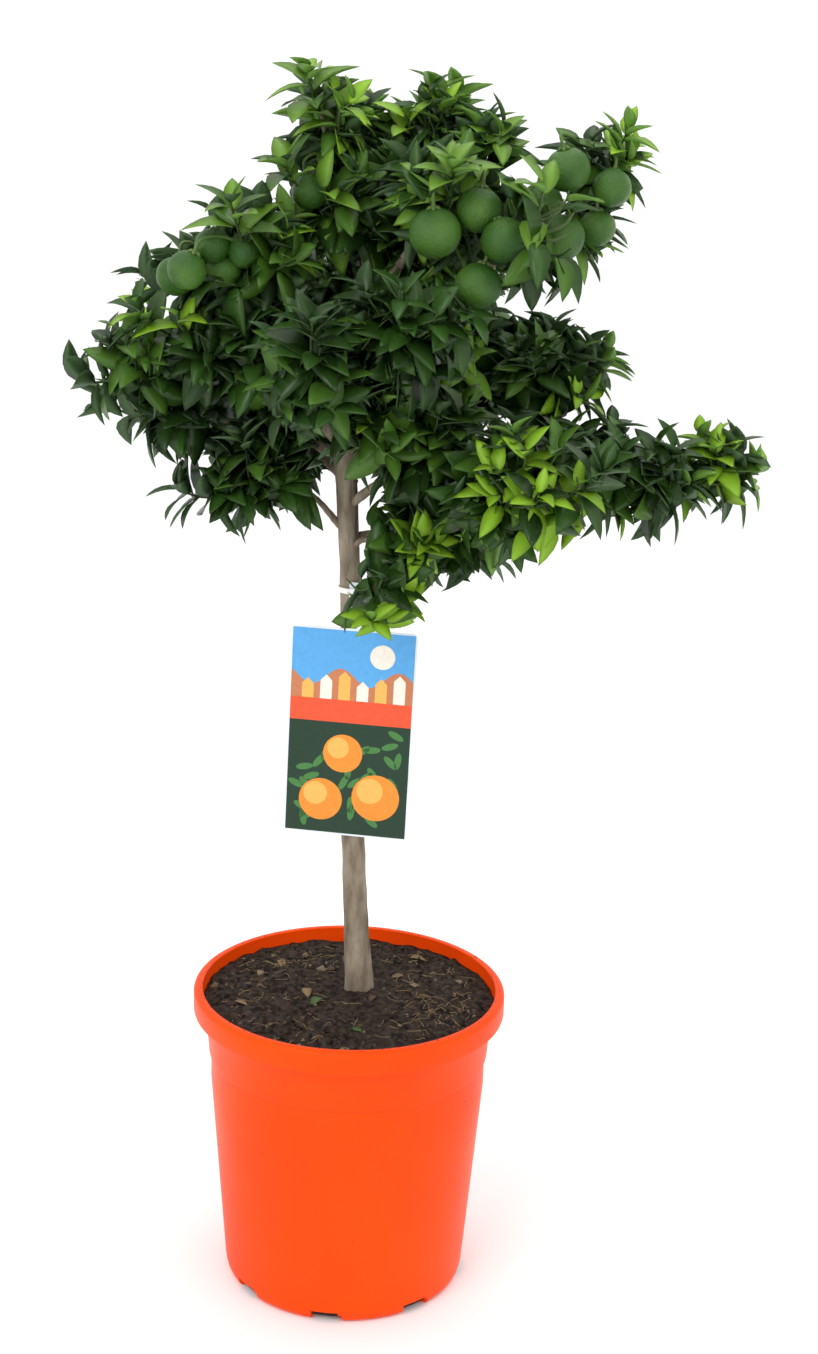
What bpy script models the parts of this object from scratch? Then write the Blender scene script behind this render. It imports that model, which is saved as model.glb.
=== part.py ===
"""Potted chinotto orange tree: pot, potting soil, trunk, boughs, foliage masses and hanging label.

Metres, +Z up. The origin is the centre of the pot's flat underside, and the front, where the
label hangs, faces -Y.
"""

import math
import random
from dataclasses import dataclass

import bmesh
import bpy
from mathutils import Matrix, Vector

GAP = 0.0003

# Pot, turned about Z
POT_HEIGHT = 0.218
POT_RIM_RADIUS = 0.110
POT_MOUTH_RADIUS = 0.1035
POT_LIP_HEIGHT = 0.017
POT_NECK_RADIUS = 0.1015
POT_RING_HEIGHT = 0.170
POT_RING_STEP = 0.0016
POT_FOOT_RADIUS = 0.0858
POT_FOOT_ROUND = 0.006
POT_WALL = 0.0022
POT_FLOOR = 0.003
POT_SEGMENTS = 44
NOTCH_COUNT = 8
NOTCH_FRONT_BEARING = -8.0
NOTCH_WIDTH_BOTTOM = 0.023
NOTCH_WIDTH_TOP = 0.015
NOTCH_HEIGHT = 0.008
NOTCH_INNER_RADIUS = 0.074

# Soil, heaped round the trunk
SOIL_HEAP_HEIGHT = 0.2135
SOIL_EDGE_HEIGHT = 0.2095
SOIL_FLAT_RADIUS = 0.030

# Trunk, from its flat cut at the soil up to the fork, and the leader above the fork
FOOT_HEIGHT = SOIL_HEAP_HEIGHT + GAP
FORK_HEIGHT = 0.607
FOOT_X = 0.0071
FOOT_Y = 0.008
FORK_X = -0.0112
TRUNK_BOW = 0.0014
TRUNK_RADIUS_FOOT = 0.0086
TRUNK_RADIUS_WAIST = 0.0063
TRUNK_FLARE = 0.0020
TRUNK_FLARE_LENGTH = 0.030
FORK_SWELL = 0.0022
FORK_SWELL_LENGTH = 0.030
LEADER_TOP = 0.750
LEADER_SLOPE_X = 0.085
LEADER_SLOPE_Y = 0.050
LEADER_RADIUS_ROOT = 0.0062
LEADER_RADIUS_TIP = 0.0034
STEM_SIDES = 12
BOUGH_SIDES = 7
BOUGH_RINGS = 6
BOUGH_TAPER = 0.62
BOUGH_ARCH = 0.10
SOCKET_SHARE = 0.66
ROOT_CLEAR = 0.013
ROOT_STAGGER = 0.0038

# Foliage masses
MASS_POINTS = 60
MASS_STRETCH = 1.15
MASS_FLATTEN = 0.95
MASS_DEPTH = 1.25
MASS_LOBES = 9
MASS_LOBE_DEPTH = 0.42
MASS_LOBE_SHARPNESS = 7
MASS_BASE = 1.00
MASS_REACH = (MASS_BASE + MASS_LOBE_DEPTH / 2) * MASS_STRETCH * MASS_DEPTH

# Label card, hung in front of the trunk
CARD_WIDTH = 0.0860
CARD_HEIGHT = 0.1470
CARD_THICKNESS = 0.0008
CARD_CORNER = 0.0038
CARD_TOP_HEIGHT = 0.4790
CARD_X = -0.0015
CARD_YAW = 8.0
CARD_ROLL = 1.6
NECK_WIDTH = 0.010
NECK_LENGTH = 0.032
HOLE_RADIUS = 0.0016
HOLE_RISE = 0.0018
LOOP_HEIGHT = 0.505
LOOP_BAND = 0.0036
LOOP_THICKNESS = 0.0010


@dataclass(frozen=True)
class Limb:
    """A bough and the run of foliage masses at its end, laid out by polar steps from its fork."""

    name: str
    fork_height: float
    bearing: float
    climb: float
    reach: float
    mass_radius: float
    count: int = 1
    step: float = 0.0
    sway: float = 0.0
    curl: float = 0.0
    growth: float = 0.0
    root_radius: float = 0.0


LIMBS = (
    Limb("top_left", 0.7, -66, 71, 0.057, 0.037, 2, step=0.055, sway=19, curl=2, growth=-0.009),
    Limb("top_mid", 0.7, 182, 68, 0.100, 0.027),
    Limb("top_right", 0.7, 123, 71, 0.073, 0.026, 2, step=0.036, sway=-8, curl=-6,
         growth=0.007),
    Limb("shoulder", 0.7, 87, 49, 0.116, 0.023),
    Limb("left_fruit", 0.66, -58, 43, 0.095, 0.038, 2, step=0.012, sway=-29, curl=-21,
         growth=-0.014, root_radius=0.0036),
    Limb("left_arm", 0.605, -68, 46, 0.083, 0.031, 3, step=0.0335, sway=-4, curl=-12.5,
         growth=-0.003, root_radius=0.0046),
    Limb("left_low", 0.6, -118, 7, 0.070, 0.038, 2, step=0.037, sway=22, curl=3, growth=-0.005,
         root_radius=0.0040),
    Limb("left_under", 0.5385, -83, 50, 0.060, 0.024, 2, step=0.019, sway=-1, curl=-25,
         root_radius=0.0027),
    Limb("right_fruit", 0.66, 84, 33, 0.154, 0.028, 2, step=0.042, sway=1, curl=6,
         growth=-0.002, root_radius=0.0042),
    Limb("mid_fruit", 0.67, 42, 49, 0.120, 0.035, 2, step=0.031, sway=7, curl=-19,
         growth=-0.003, root_radius=0.0036),
    Limb("right_arm", 0.605, 112, 36, 0.094, 0.033, 2, step=0.054, sway=-3, curl=-22,
         growth=0.007, root_radius=0.0046),
    Limb("right_tip", 0.605, 88, -8, 0.168, 0.034, 3, step=0.041, sway=3, curl=2,
         growth=-0.005, root_radius=0.0040),
    Limb("right_low", 0.56, 50, 33, 0.081, 0.035, 2, step=0.056, sway=4, curl=-18,
         growth=0.012, root_radius=0.0036),
    Limb("right_under", 0.5385, 105, 6, 0.075, 0.041, root_radius=0.0030),
    Limb("foot", 0.535, 45, 16, 0.051, 0.022, 2, step=0.012, sway=-29, curl=-32, growth=0.004,
         root_radius=0.0022),
    Limb("core", 0.605, 97, 73, 0.129, 0.034),
    Limb("front_low", 0.605, 18, 16, 0.069, 0.026),
    Limb("front", 0.62, -11, 24, 0.102, 0.035, 2, step=0.022, sway=31, curl=10, growth=0.001,
         root_radius=0.0034),
    Limb("back_left", 0.605, -152, -8, 0.109, 0.042, 2, step=0.040, sway=19, curl=24,
         growth=-0.001, root_radius=0.0042),
    Limb("back_right", 0.605, 144, 11, 0.125, 0.045, 2, step=0.027, sway=2, curl=37,
         root_radius=0.0042),
    Limb("back_mid", 0.64, 171, -3, 0.109, 0.035, 2, step=-0.001, sway=16, curl=28,
         growth=0.006, root_radius=0.0036),
)


@dataclass(frozen=True)
class Mass:
    """One foliage mass: its centre, the way its limb heads there, and its mean radius."""

    name: str
    centre: Vector
    heading: Vector
    radius: float


@dataclass(frozen=True)
class Tube:
    """A tapering round limb: its centreline, the radius at each point and its side count."""

    name: str
    points: tuple[Vector, ...]
    radii: tuple[float, ...]
    sides: int


def clear_scene() -> None:
    """Remove every object of the scene."""
    for obj in list(bpy.data.objects):
        bpy.data.objects.remove(obj, do_unlink=True)


def material(name: str, colour: tuple[float, float, float], roughness: float) -> bpy.types.Material:
    """Make a plain non-metallic Principled material."""
    made = bpy.data.materials.new(name)
    made.use_nodes = True
    shader = made.node_tree.nodes["Principled BSDF"]
    shader.inputs["Base Color"].default_value = (*colour, 1.0)
    shader.inputs["Roughness"].default_value = roughness
    shader.inputs["Metallic"].default_value = 0.0
    return made


def add_object(name: str, bm: bmesh.types.BMesh, finish: bpy.types.Material | None) -> bpy.types.Object:
    """Turn a bmesh into a smooth-shaded object of the scene."""
    bm.normal_update()
    bmesh.ops.recalc_face_normals(bm, faces=bm.faces)
    mesh = bpy.data.meshes.new(name)
    bm.to_mesh(mesh)
    bm.free()
    mesh.shade_smooth()
    mesh.set_sharp_from_angle(angle=math.radians(35))
    obj = bpy.data.objects.new(name, mesh)
    bpy.context.scene.collection.objects.link(obj)
    if finish is not None:
        mesh.materials.append(finish)
    return obj


def as_cutter(obj: bpy.types.Object) -> bpy.types.Object:
    """Mark an object as a helper that shows as wire and never renders."""
    obj.hide_render = True
    obj.display_type = "WIRE"
    return obj


def boolean(obj: bpy.types.Object, other: bpy.types.Object, operation: str) -> None:
    """Add an exact Boolean of the other object to this one."""
    modifier = obj.modifiers.new(f"{operation.lower()}_{other.name}", "BOOLEAN")
    modifier.operation = operation
    modifier.solver = "EXACT"
    modifier.object = other


def turned(profile: list[tuple[float, float]], segments: int) -> bmesh.types.BMesh:
    """Spin a closed radius and height profile once round the Z axis."""
    bm = bmesh.new()
    verts = [bm.verts.new((r, 0.0, z)) for r, z in profile]
    edges = [bm.edges.new((a, b)) for a, b in zip(verts, verts[1:])]
    if profile[0][0] > 0.0:
        edges.append(bm.edges.new((verts[-1], verts[0])))
    bmesh.ops.spin(bm, geom=verts + edges, axis=(0, 0, 1), cent=(0, 0, 0), steps=segments,
                   angle=2 * math.pi, use_merge=True)
    bmesh.ops.remove_doubles(bm, verts=bm.verts, dist=1e-6)
    return bm


def arc(centre: tuple[float, float], radius: float, start: float, end: float,
        count: int) -> list[tuple[float, float]]:
    """Points of a circular arc in two coordinates, angles in degrees."""
    angles = [math.radians(start + (end - start) * i / (count - 1)) for i in range(count)]
    return [(centre[0] + radius * math.cos(a), centre[1] + radius * math.sin(a)) for a in angles]


def extruded(outline: list[tuple[float, float]], low: float, high: float) -> bmesh.types.BMesh:
    """Extrude a closed outline along Z from one height to another."""
    bm = bmesh.new()
    face = bm.faces.new([bm.verts.new((x, y, low)) for x, y in outline])
    grown = bmesh.ops.extrude_face_region(bm, geom=[face])
    raised = [item for item in grown["geom"] if isinstance(item, bmesh.types.BMVert)]
    bmesh.ops.translate(bm, verts=raised, vec=(0, 0, high - low))
    return bm


def hull(points: list[Vector]) -> bmesh.types.BMesh:
    """The convex hull of some points."""
    bm = bmesh.new()
    verts = [bm.verts.new(point) for point in points]
    made = bmesh.ops.convex_hull(bm, input=verts)
    spare = [item for item in made["geom_interior"] if isinstance(item, bmesh.types.BMVert)]
    bmesh.ops.delete(bm, geom=spare, context="VERTS")
    return bm


def heading(bearing: float, climb: float) -> Vector:
    """Unit vector for a bearing in degrees from the front towards +X, and a climb above level."""
    b, c = math.radians(bearing), math.radians(climb)
    return Vector((math.sin(b) * math.cos(c), -math.cos(b) * math.cos(c), math.sin(c)))


def stem_point(height: float) -> Vector:
    """The centre of the trunk, or of the leader above the fork, at a height."""
    if height <= FORK_HEIGHT:
        t = (height - FOOT_HEIGHT) / (FORK_HEIGHT - FOOT_HEIGHT)
        x = FOOT_X + (FORK_X - FOOT_X) * t - TRUNK_BOW * math.sin(2 * math.pi * t)
        return Vector((x, FOOT_Y * (1 - t), height))
    rise = height - FORK_HEIGHT
    return Vector((FORK_X + LEADER_SLOPE_X * rise, LEADER_SLOPE_Y * rise, height))


def trunk_radius(height: float) -> float:
    """The trunk's radius: a long taper, a root flare and a swelling under the fork."""
    t = (height - FOOT_HEIGHT) / (FORK_HEIGHT - FOOT_HEIGHT)
    taper = TRUNK_RADIUS_FOOT + (TRUNK_RADIUS_WAIST - TRUNK_RADIUS_FOOT) * t
    flare = TRUNK_FLARE * math.exp(-(height - FOOT_HEIGHT) / TRUNK_FLARE_LENGTH)
    swell = FORK_SWELL * math.exp(-(FORK_HEIGHT - height) / FORK_SWELL_LENGTH)
    return taper + flare + swell


def trunk_tube() -> Tube:
    """The trunk, with closer rings at its flare and under its fork."""
    shares = [0.0, 0.03, 0.08, 0.16, 0.3, 0.45, 0.6, 0.75, 0.87, 0.94, 1.0]
    heights = [FOOT_HEIGHT + (FORK_HEIGHT - FOOT_HEIGHT) * share for share in shares]
    return Tube("trunk", tuple(stem_point(h) for h in heights),
                tuple(trunk_radius(h) for h in heights), STEM_SIDES)


def leader_tube() -> Tube:
    """The leader, from the trunk's top up into the crown."""
    heights = [FORK_HEIGHT + GAP + (LEADER_TOP - FORK_HEIGHT) * i / BOUGH_RINGS
               for i in range(BOUGH_RINGS + 1)]
    drop = (LEADER_RADIUS_TIP - LEADER_RADIUS_ROOT) / BOUGH_RINGS
    radii = tuple(LEADER_RADIUS_ROOT + drop * i for i in range(BOUGH_RINGS + 1))
    return Tube("bough_leader", tuple(stem_point(h) for h in heights), radii, BOUGH_SIDES)


def masses_of(limb: Limb) -> list[Mass]:
    """The limb's masses, each a polar step further out from its fork."""
    fork = stem_point(limb.fork_height)
    found = []
    for k in range(limb.count):
        way = heading(limb.bearing + limb.sway * k, limb.climb + limb.curl * k)
        found.append(Mass(f"mass_{limb.name}_{k + 1}", fork + way * (limb.reach + limb.step * k),
                          way, limb.mass_radius + limb.growth * k))
    return found


def root_height(limb: Limb) -> float:
    """Where the bough leaves the stem: boughs that crowd the fork spring one below another."""
    top = FORK_HEIGHT - ROOT_CLEAR
    if not top < limb.fork_height < FORK_HEIGHT:
        return limb.fork_height
    crowd = [other for other in LIMBS
             if other.root_radius > 0 and top < other.fork_height < FORK_HEIGHT]
    return top - ROOT_STAGGER * crowd.index(limb)


def bough_tube(limb: Limb) -> Tube:
    """The limb's bare bough: a tapering arch from the stem into its first mass."""
    root = stem_point(root_height(limb))
    first = masses_of(limb)[0]
    tip = first.centre - first.heading * first.radius * MASS_STRETCH * SOCKET_SHARE
    bend = (root + tip) / 2 + Vector((0, 0, BOUGH_ARCH * (tip - root).length))
    points, radii = [], []
    for i in range(BOUGH_RINGS + 1):
        t = i / BOUGH_RINGS
        points.append(root * (1 - t) ** 2 + bend * 2 * t * (1 - t) + tip * t * t)
        radii.append(limb.root_radius * (1 - (1 - BOUGH_TAPER) * t))
    return Tube(f"bough_{limb.name}", tuple(points), tuple(radii), BOUGH_SIDES)


def loft(tube: Tube, margin: float = 0.0) -> bmesh.types.BMesh:
    """Skin a tube, larger by a margin on its side and at its tip."""
    bm = bmesh.new()
    rings = []
    spread = margin / math.cos(math.pi / tube.sides)
    last = len(tube.points) - 1
    for i, (point, radius) in enumerate(zip(tube.points, tube.radii)):
        ahead = tube.points[min(i + 1, last)] - tube.points[max(i - 1, 0)]
        level = tube.name == "trunk" or i == 0 and tube.name == "bough_leader"
        along = Vector((0, 0, 1)) if level else ahead.normalized()
        side = along.cross(Vector((0.0, 1.0, 0.31))).normalized()
        up = along.cross(side)
        centre = point + along * (margin if i == last else 0.0)
        ring = []
        for k in range(tube.sides):
            a = 2 * math.pi * k / tube.sides
            reach = (side * math.cos(a) + up * math.sin(a)) * (radius + spread)
            ring.append(bm.verts.new(centre + reach))
        rings.append(ring)
    for low, high in zip(rings, rings[1:]):
        for k in range(tube.sides):
            n = (k + 1) % tube.sides
            bm.faces.new((low[k], low[n], high[n], high[k]))
    bm.faces.new(list(reversed(rings[0])))
    bm.faces.new(rings[-1])
    return bm


def lobed_radius(way: Vector, lobes: list[Vector]) -> float:
    """How far an uneven mass reaches in a direction, as a share of its mean radius."""
    swell = max(max(0.0, way.dot(lobe)) ** MASS_LOBE_SHARPNESS for lobe in lobes)
    return MASS_BASE - MASS_LOBE_DEPTH / 2 + MASS_LOBE_DEPTH * swell


def mass_mesh(mass: Mass, others: list[Mass]) -> bmesh.types.BMesh:
    """An uneven closed blob, held back from every neighbour by the plane between the two."""
    rng = random.Random(mass.name)
    lobes = [Vector([rng.gauss(0, 1) for _ in range(3)]).normalized() for _ in range(MASS_LOBES)]
    side = Vector((0, 0, 1)).cross(mass.heading).normalized()
    up = mass.heading.cross(side)
    axes = Matrix((mass.heading * MASS_STRETCH, side, up * MASS_FLATTEN)).transposed()
    walls = []
    for other in others:
        apart = other.centre - mass.centre
        d = apart.length
        reach = (d * d + mass.radius ** 2 - other.radius ** 2) / (2 * d)
        walls.append((apart / d, reach - GAP / 2))
    golden = math.pi * (3 - math.sqrt(5))
    ways = []
    for i in range(MASS_POINTS):
        z = 1 - (2 * i + 1) / MASS_POINTS
        flat = math.sqrt(1 - z * z)
        ways.append(Vector((flat * math.cos(golden * i), flat * math.sin(golden * i), z)))
    bm = hull(ways)
    for vert in bm.verts:
        way = vert.co.normalized()
        arm = axes @ (way * lobed_radius(way, lobes) * mass.radius)
        arm.y *= MASS_DEPTH
        share = 1.0
        for normal, reach in walls:
            toward = arm.dot(normal)
            if toward > reach:
                share = min(share, reach / toward)
        vert.co = mass.centre + arm * share
    return bm


def pot_profile() -> list[tuple[float, float]]:
    """The pot's wall, floor and rim as one closed profile, outer side first."""
    lip_low = POT_HEIGHT - POT_LIP_HEIGHT
    ring_radius = POT_FOOT_RADIUS + (POT_NECK_RADIUS - POT_FOOT_RADIUS) * POT_RING_HEIGHT / lip_low
    foot = arc((POT_FOOT_RADIUS - POT_FOOT_ROUND, POT_FOOT_ROUND), POT_FOOT_ROUND, -90, 0, 4)
    outer = foot + [
        (ring_radius - POT_RING_STEP, POT_RING_HEIGHT - POT_RING_STEP),
        (ring_radius, POT_RING_HEIGHT),
        (POT_NECK_RADIUS, lip_low),
        (POT_RIM_RADIUS - 0.0012, lip_low),
        (POT_RIM_RADIUS, lip_low + 0.0012),
        (POT_RIM_RADIUS, POT_HEIGHT - 0.004),
        (POT_RIM_RADIUS - 0.0018, POT_HEIGHT - 0.0008),
        (POT_RIM_RADIUS - 0.0042, POT_HEIGHT),
    ]
    inner = [
        (POT_MOUTH_RADIUS, POT_HEIGHT),
        (POT_MOUTH_RADIUS, lip_low + 0.004),
        (POT_NECK_RADIUS - POT_WALL, lip_low - 0.004),
        (POT_FOOT_RADIUS - POT_WALL, POT_FLOOR + 0.004),
        (POT_FOOT_RADIUS - POT_WALL - 0.004, POT_FLOOR),
        (0.0, POT_FLOOR),
    ]
    return [(0.0, 0.0), *outer, *inner]


def soil_profile() -> list[tuple[float, float]]:
    """The soil inside the pot, a gap clear of its wall, with a gentle heap on top."""
    lip_low = POT_HEIGHT - POT_LIP_HEIGHT
    wall_clear = POT_WALL + GAP
    return [
        (0.0, POT_FLOOR + GAP),
        (POT_FOOT_RADIUS - wall_clear - 0.0045, POT_FLOOR + GAP),
        (POT_FOOT_RADIUS - wall_clear - 0.0003, POT_FLOOR + 0.0045),
        (POT_NECK_RADIUS - wall_clear - 0.0002, lip_low - 0.004),
        (POT_MOUTH_RADIUS - GAP - 0.0003, lip_low + 0.0042),
        (POT_MOUTH_RADIUS - GAP - 0.0003, SOIL_EDGE_HEIGHT),
        ((POT_MOUTH_RADIUS + SOIL_FLAT_RADIUS) / 2, SOIL_HEAP_HEIGHT - 0.001),
        (SOIL_FLAT_RADIUS, SOIL_HEAP_HEIGHT),
        (0.0, SOIL_HEAP_HEIGHT),
    ]


def build_pot(finish: bpy.types.Material) -> None:
    """The tapered pot with its rolled rim, moulded ring and drainage notches at its foot."""
    pot = add_object("pot", turned(pot_profile(), POT_SEGMENTS), finish)
    outline = [(-NOTCH_WIDTH_BOTTOM / 2, -NOTCH_HEIGHT), (NOTCH_WIDTH_BOTTOM / 2, -NOTCH_HEIGHT),
               (NOTCH_WIDTH_BOTTOM / 2, 0.0), (NOTCH_WIDTH_TOP / 2, NOTCH_HEIGHT),
               (-NOTCH_WIDTH_TOP / 2, NOTCH_HEIGHT), (-NOTCH_WIDTH_BOTTOM / 2, 0.0)]
    for i in range(NOTCH_COUNT):
        bm = extruded(outline, NOTCH_INNER_RADIUS, POT_RIM_RADIUS)
        bmesh.ops.rotate(bm, verts=bm.verts, cent=(0, 0, 0),
                         matrix=Matrix.Rotation(math.radians(90), 3, "X"))
        turn = Matrix.Rotation(math.radians(NOTCH_FRONT_BEARING + 360 * i / NOTCH_COUNT), 3, "Z")
        bmesh.ops.rotate(bm, verts=bm.verts, cent=(0, 0, 0), matrix=turn)
        boolean(pot, as_cutter(add_object(f"notch_cutter_{i + 1}", bm, None)), "DIFFERENCE")


def near(tube: Tube, point: Vector, distance: float) -> bool:
    """Whether any stretch of the tube's centreline comes within a distance of a point."""
    for a, b in zip(tube.points, tube.points[1:]):
        along = b - a
        t = max(0.0, min(1.0, (point - a).dot(along) / along.length_squared))
        if (point - a - along * t).length < distance:
            return True
    return False


def build_limbs(finish: bpy.types.Material) -> list[tuple[Tube, bpy.types.Object]]:
    """Trunk, leader and boughs, each cut back from the ones before it; returns their cutters."""
    tubes = [trunk_tube(), leader_tube()]
    tubes += [bough_tube(limb) for limb in LIMBS if limb.root_radius > 0]
    cutters = []
    for tube in tubes:
        obj = add_object(tube.name, loft(tube), finish)
        for other, cutter in cutters:
            reach = max(tube.radii) + max(other.radii) + 0.001
            if any(near(other, point, reach) for point in tube.points[:3]):
                boolean(obj, cutter, "DIFFERENCE")
        cutter = as_cutter(add_object(f"cutter_{tube.name}", loft(tube, GAP), None))
        cutters.append((tube, cutter))
    return cutters


def build_masses(finish: bpy.types.Material, cutters: list[tuple[Tube, bpy.types.Object]]) -> None:
    """Every foliage mass, with a socket or groove for each limb that reaches it."""
    masses = [mass for limb in LIMBS for mass in masses_of(limb)]
    for mass in masses:
        others = [other for other in masses if other is not mass]
        obj = add_object(mass.name, mass_mesh(mass, others), finish)
        for tube, cutter in cutters:
            if near(tube, mass.centre, mass.radius * MASS_REACH + max(tube.radii)):
                boolean(obj, cutter, "DIFFERENCE")


def card_outline() -> list[tuple[float, float]]:
    """The card and its neck, in card coordinates with the top edge's middle at the origin."""
    w, h, r = CARD_WIDTH / 2, CARD_HEIGHT, CARD_CORNER
    n = NECK_WIDTH / 2
    return [
        *arc((w - r, -h + r), r, -90, 0, 4),
        *arc((w - r, -r), r, 0, 90, 4),
        (n, 0.0),
        *arc((n - 0.0015, NECK_LENGTH - 0.0015), 0.0015, 0, 90, 3),
        *arc((-n + 0.0015, NECK_LENGTH - 0.0015), 0.0015, 90, 180, 3),
        (-n, 0.0),
        *arc((-w + r, -r), r, 90, 180, 4),
        *arc((-w + r, -h + r), r, 180, 270, 4),
    ]


def card_frame() -> Matrix:
    """Card coordinates to world: the card stands upright, its face a gap clear of the trunk."""
    stem = stem_point(LOOP_HEIGHT)
    away = trunk_radius(LOOP_HEIGHT) + GAP + CARD_THICKNESS / 2
    yaw = Matrix.Rotation(math.radians(CARD_YAW), 4, "Z").inverted()
    normal = yaw @ Vector((0, -1, 0))
    across = yaw @ Vector((1, 0, 0))
    on_face = stem + normal * away
    spot = on_face + across * ((CARD_X - on_face.x) / across.x)
    spot.z = CARD_TOP_HEIGHT
    roll = Matrix.Rotation(math.radians(-CARD_ROLL), 4, "Z")
    return Matrix.Translation(spot) @ yaw @ Matrix.Rotation(math.radians(90), 4, "X") @ roll


def build_label(card_finish: bpy.types.Material, loop_finish: bpy.types.Material) -> None:
    """The label card with its neck and punched hole, and the loop that ties it to the trunk."""
    frame = card_frame()
    bm = extruded(card_outline(), -CARD_THICKNESS / 2, CARD_THICKNESS / 2)
    bm.transform(frame)
    card = add_object("label_card", bm, card_finish)
    punch = extruded(arc((0.0, HOLE_RISE), HOLE_RADIUS, 0, 315, 8), -0.01, 0.004)
    punch.transform(frame)
    boolean(card, as_cutter(add_object("hole_cutter", punch, None)), "DIFFERENCE")

    stem = stem_point(LOOP_HEIGHT)
    tall = {"loop": LOOP_BAND / 2, "core": LOOP_BAND * 2}
    grown = {"loop": GAP + LOOP_THICKNESS, "core": GAP + 0.0001}
    band = {}
    for part, half in tall.items():
        points = []
        for z in (-half, half):
            radius = (trunk_radius(LOOP_HEIGHT) + grown[part]) / math.cos(math.pi / 24)
            for x, y in arc((stem.x, stem.y), radius, 0, 345, 24):
                points.append(Vector((x, y, LOOP_HEIGHT + z)))
            level = LOOP_HEIGHT - CARD_TOP_HEIGHT
            for sx in (-1, 1):
                edge = Vector((sx * (NECK_WIDTH / 2 + grown[part]), level,
                               CARD_THICKNESS / 2 + grown[part]))
                corner = frame @ edge
                points.append(Vector((corner.x, corner.y, LOOP_HEIGHT + z)))
        band[part] = hull(points)
    loop = add_object("label_loop", band["loop"], loop_finish)
    boolean(loop, as_cutter(add_object("loop_cutter", band["core"], None)), "DIFFERENCE")


def main() -> None:
    """Build every sub-part of the potted tree."""
    clear_scene()
    build_pot(material("pot_plastic", (0.90, 0.13, 0.01), 0.45))
    add_object("potting_soil", turned(soil_profile(), POT_SEGMENTS),
               material("potting_soil", (0.035, 0.025, 0.018), 0.95))
    cutters = build_limbs(material("bark", (0.20, 0.16, 0.11), 0.85))
    build_masses(material("foliage", (0.05, 0.13, 0.04), 0.60), cutters)
    build_label(material("label_card", (0.70, 0.45, 0.25), 0.40),
                material("label_loop", (0.85, 0.85, 0.83), 0.50))


main()
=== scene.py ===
"""Potted chinotto orange tree: bark, twigs, leaves, fruit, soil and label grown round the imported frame."""

import logging
import math
import random
from dataclasses import dataclass, field
from enum import Enum

import bpy
from mathutils import Matrix, Vector, noise


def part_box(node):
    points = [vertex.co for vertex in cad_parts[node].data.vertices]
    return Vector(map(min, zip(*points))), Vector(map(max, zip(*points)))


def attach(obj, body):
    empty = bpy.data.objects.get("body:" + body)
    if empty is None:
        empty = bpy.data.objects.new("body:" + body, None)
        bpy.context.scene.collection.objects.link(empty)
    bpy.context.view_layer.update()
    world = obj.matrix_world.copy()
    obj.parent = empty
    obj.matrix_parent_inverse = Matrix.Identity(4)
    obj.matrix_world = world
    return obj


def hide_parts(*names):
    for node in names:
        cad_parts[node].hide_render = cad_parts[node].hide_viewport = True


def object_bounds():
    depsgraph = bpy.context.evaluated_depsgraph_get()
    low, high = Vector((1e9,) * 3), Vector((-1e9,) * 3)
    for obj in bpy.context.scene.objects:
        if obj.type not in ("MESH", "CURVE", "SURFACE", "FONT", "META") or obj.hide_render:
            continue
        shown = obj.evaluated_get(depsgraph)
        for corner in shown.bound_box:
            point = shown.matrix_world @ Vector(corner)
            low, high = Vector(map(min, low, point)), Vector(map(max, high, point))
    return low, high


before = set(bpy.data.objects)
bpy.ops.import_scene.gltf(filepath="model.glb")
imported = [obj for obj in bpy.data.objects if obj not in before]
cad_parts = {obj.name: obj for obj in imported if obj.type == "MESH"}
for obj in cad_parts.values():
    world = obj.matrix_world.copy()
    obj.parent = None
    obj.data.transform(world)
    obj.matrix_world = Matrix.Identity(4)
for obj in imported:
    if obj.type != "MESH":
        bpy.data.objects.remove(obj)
CAD_BOX = [[float(v) for v in corner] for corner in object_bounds()]

LOG = logging.getLogger("potted_tree")
UP = Vector((0.0, 0.0, 1.0))
EYE = Vector((0.0, -1.3, 0.8052))
FULL_TURN = 2 * math.pi
ANY_TURN = 6.3
GOLDEN_ANGLE = math.radians(137.5)
WELD_DIGITS = 6

# Shared noise effects, and the swing of roughness that they drive
NOISE_DETAIL = 6.0
NOISE_LOW = 0.05
NOISE_HIGH = 0.95
CONTRAST_REACH = 0.45
ROUGHNESS_SWING = 0.08
SMOOTHEST = 0.05

# Sockets of the colour mix node, by number
MIX_FACTOR, MIX_DARK, MIX_LIGHT = 0, 6, 7
MIX_RESULT = 2

# Bark relief: ridges that are fine sideways and long upwards, with knobs over them
RIDGES_ACROSS = 420
RIDGES_UPWARDS = 70
KNOB_SCALE = 55
KNOB_SHARE = 0.5

# The eight faces of a lump with six corners
LUMP_FACES = [(0, 2, 4), (2, 1, 4), (1, 3, 4), (3, 0, 4), (2, 0, 5), (1, 2, 5), (3, 1, 5), (0, 3, 5)]

Colour = tuple[float, float, float]
Place = tuple[float, float, float]
Range = tuple[float, float]
Face = tuple[int, ...]


def link(tree: bpy.types.NodeTree, out: bpy.types.NodeSocket, into: bpy.types.NodeSocket) -> None:
    """Join one output socket to one input socket."""
    tree.links.new(out, into)


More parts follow.
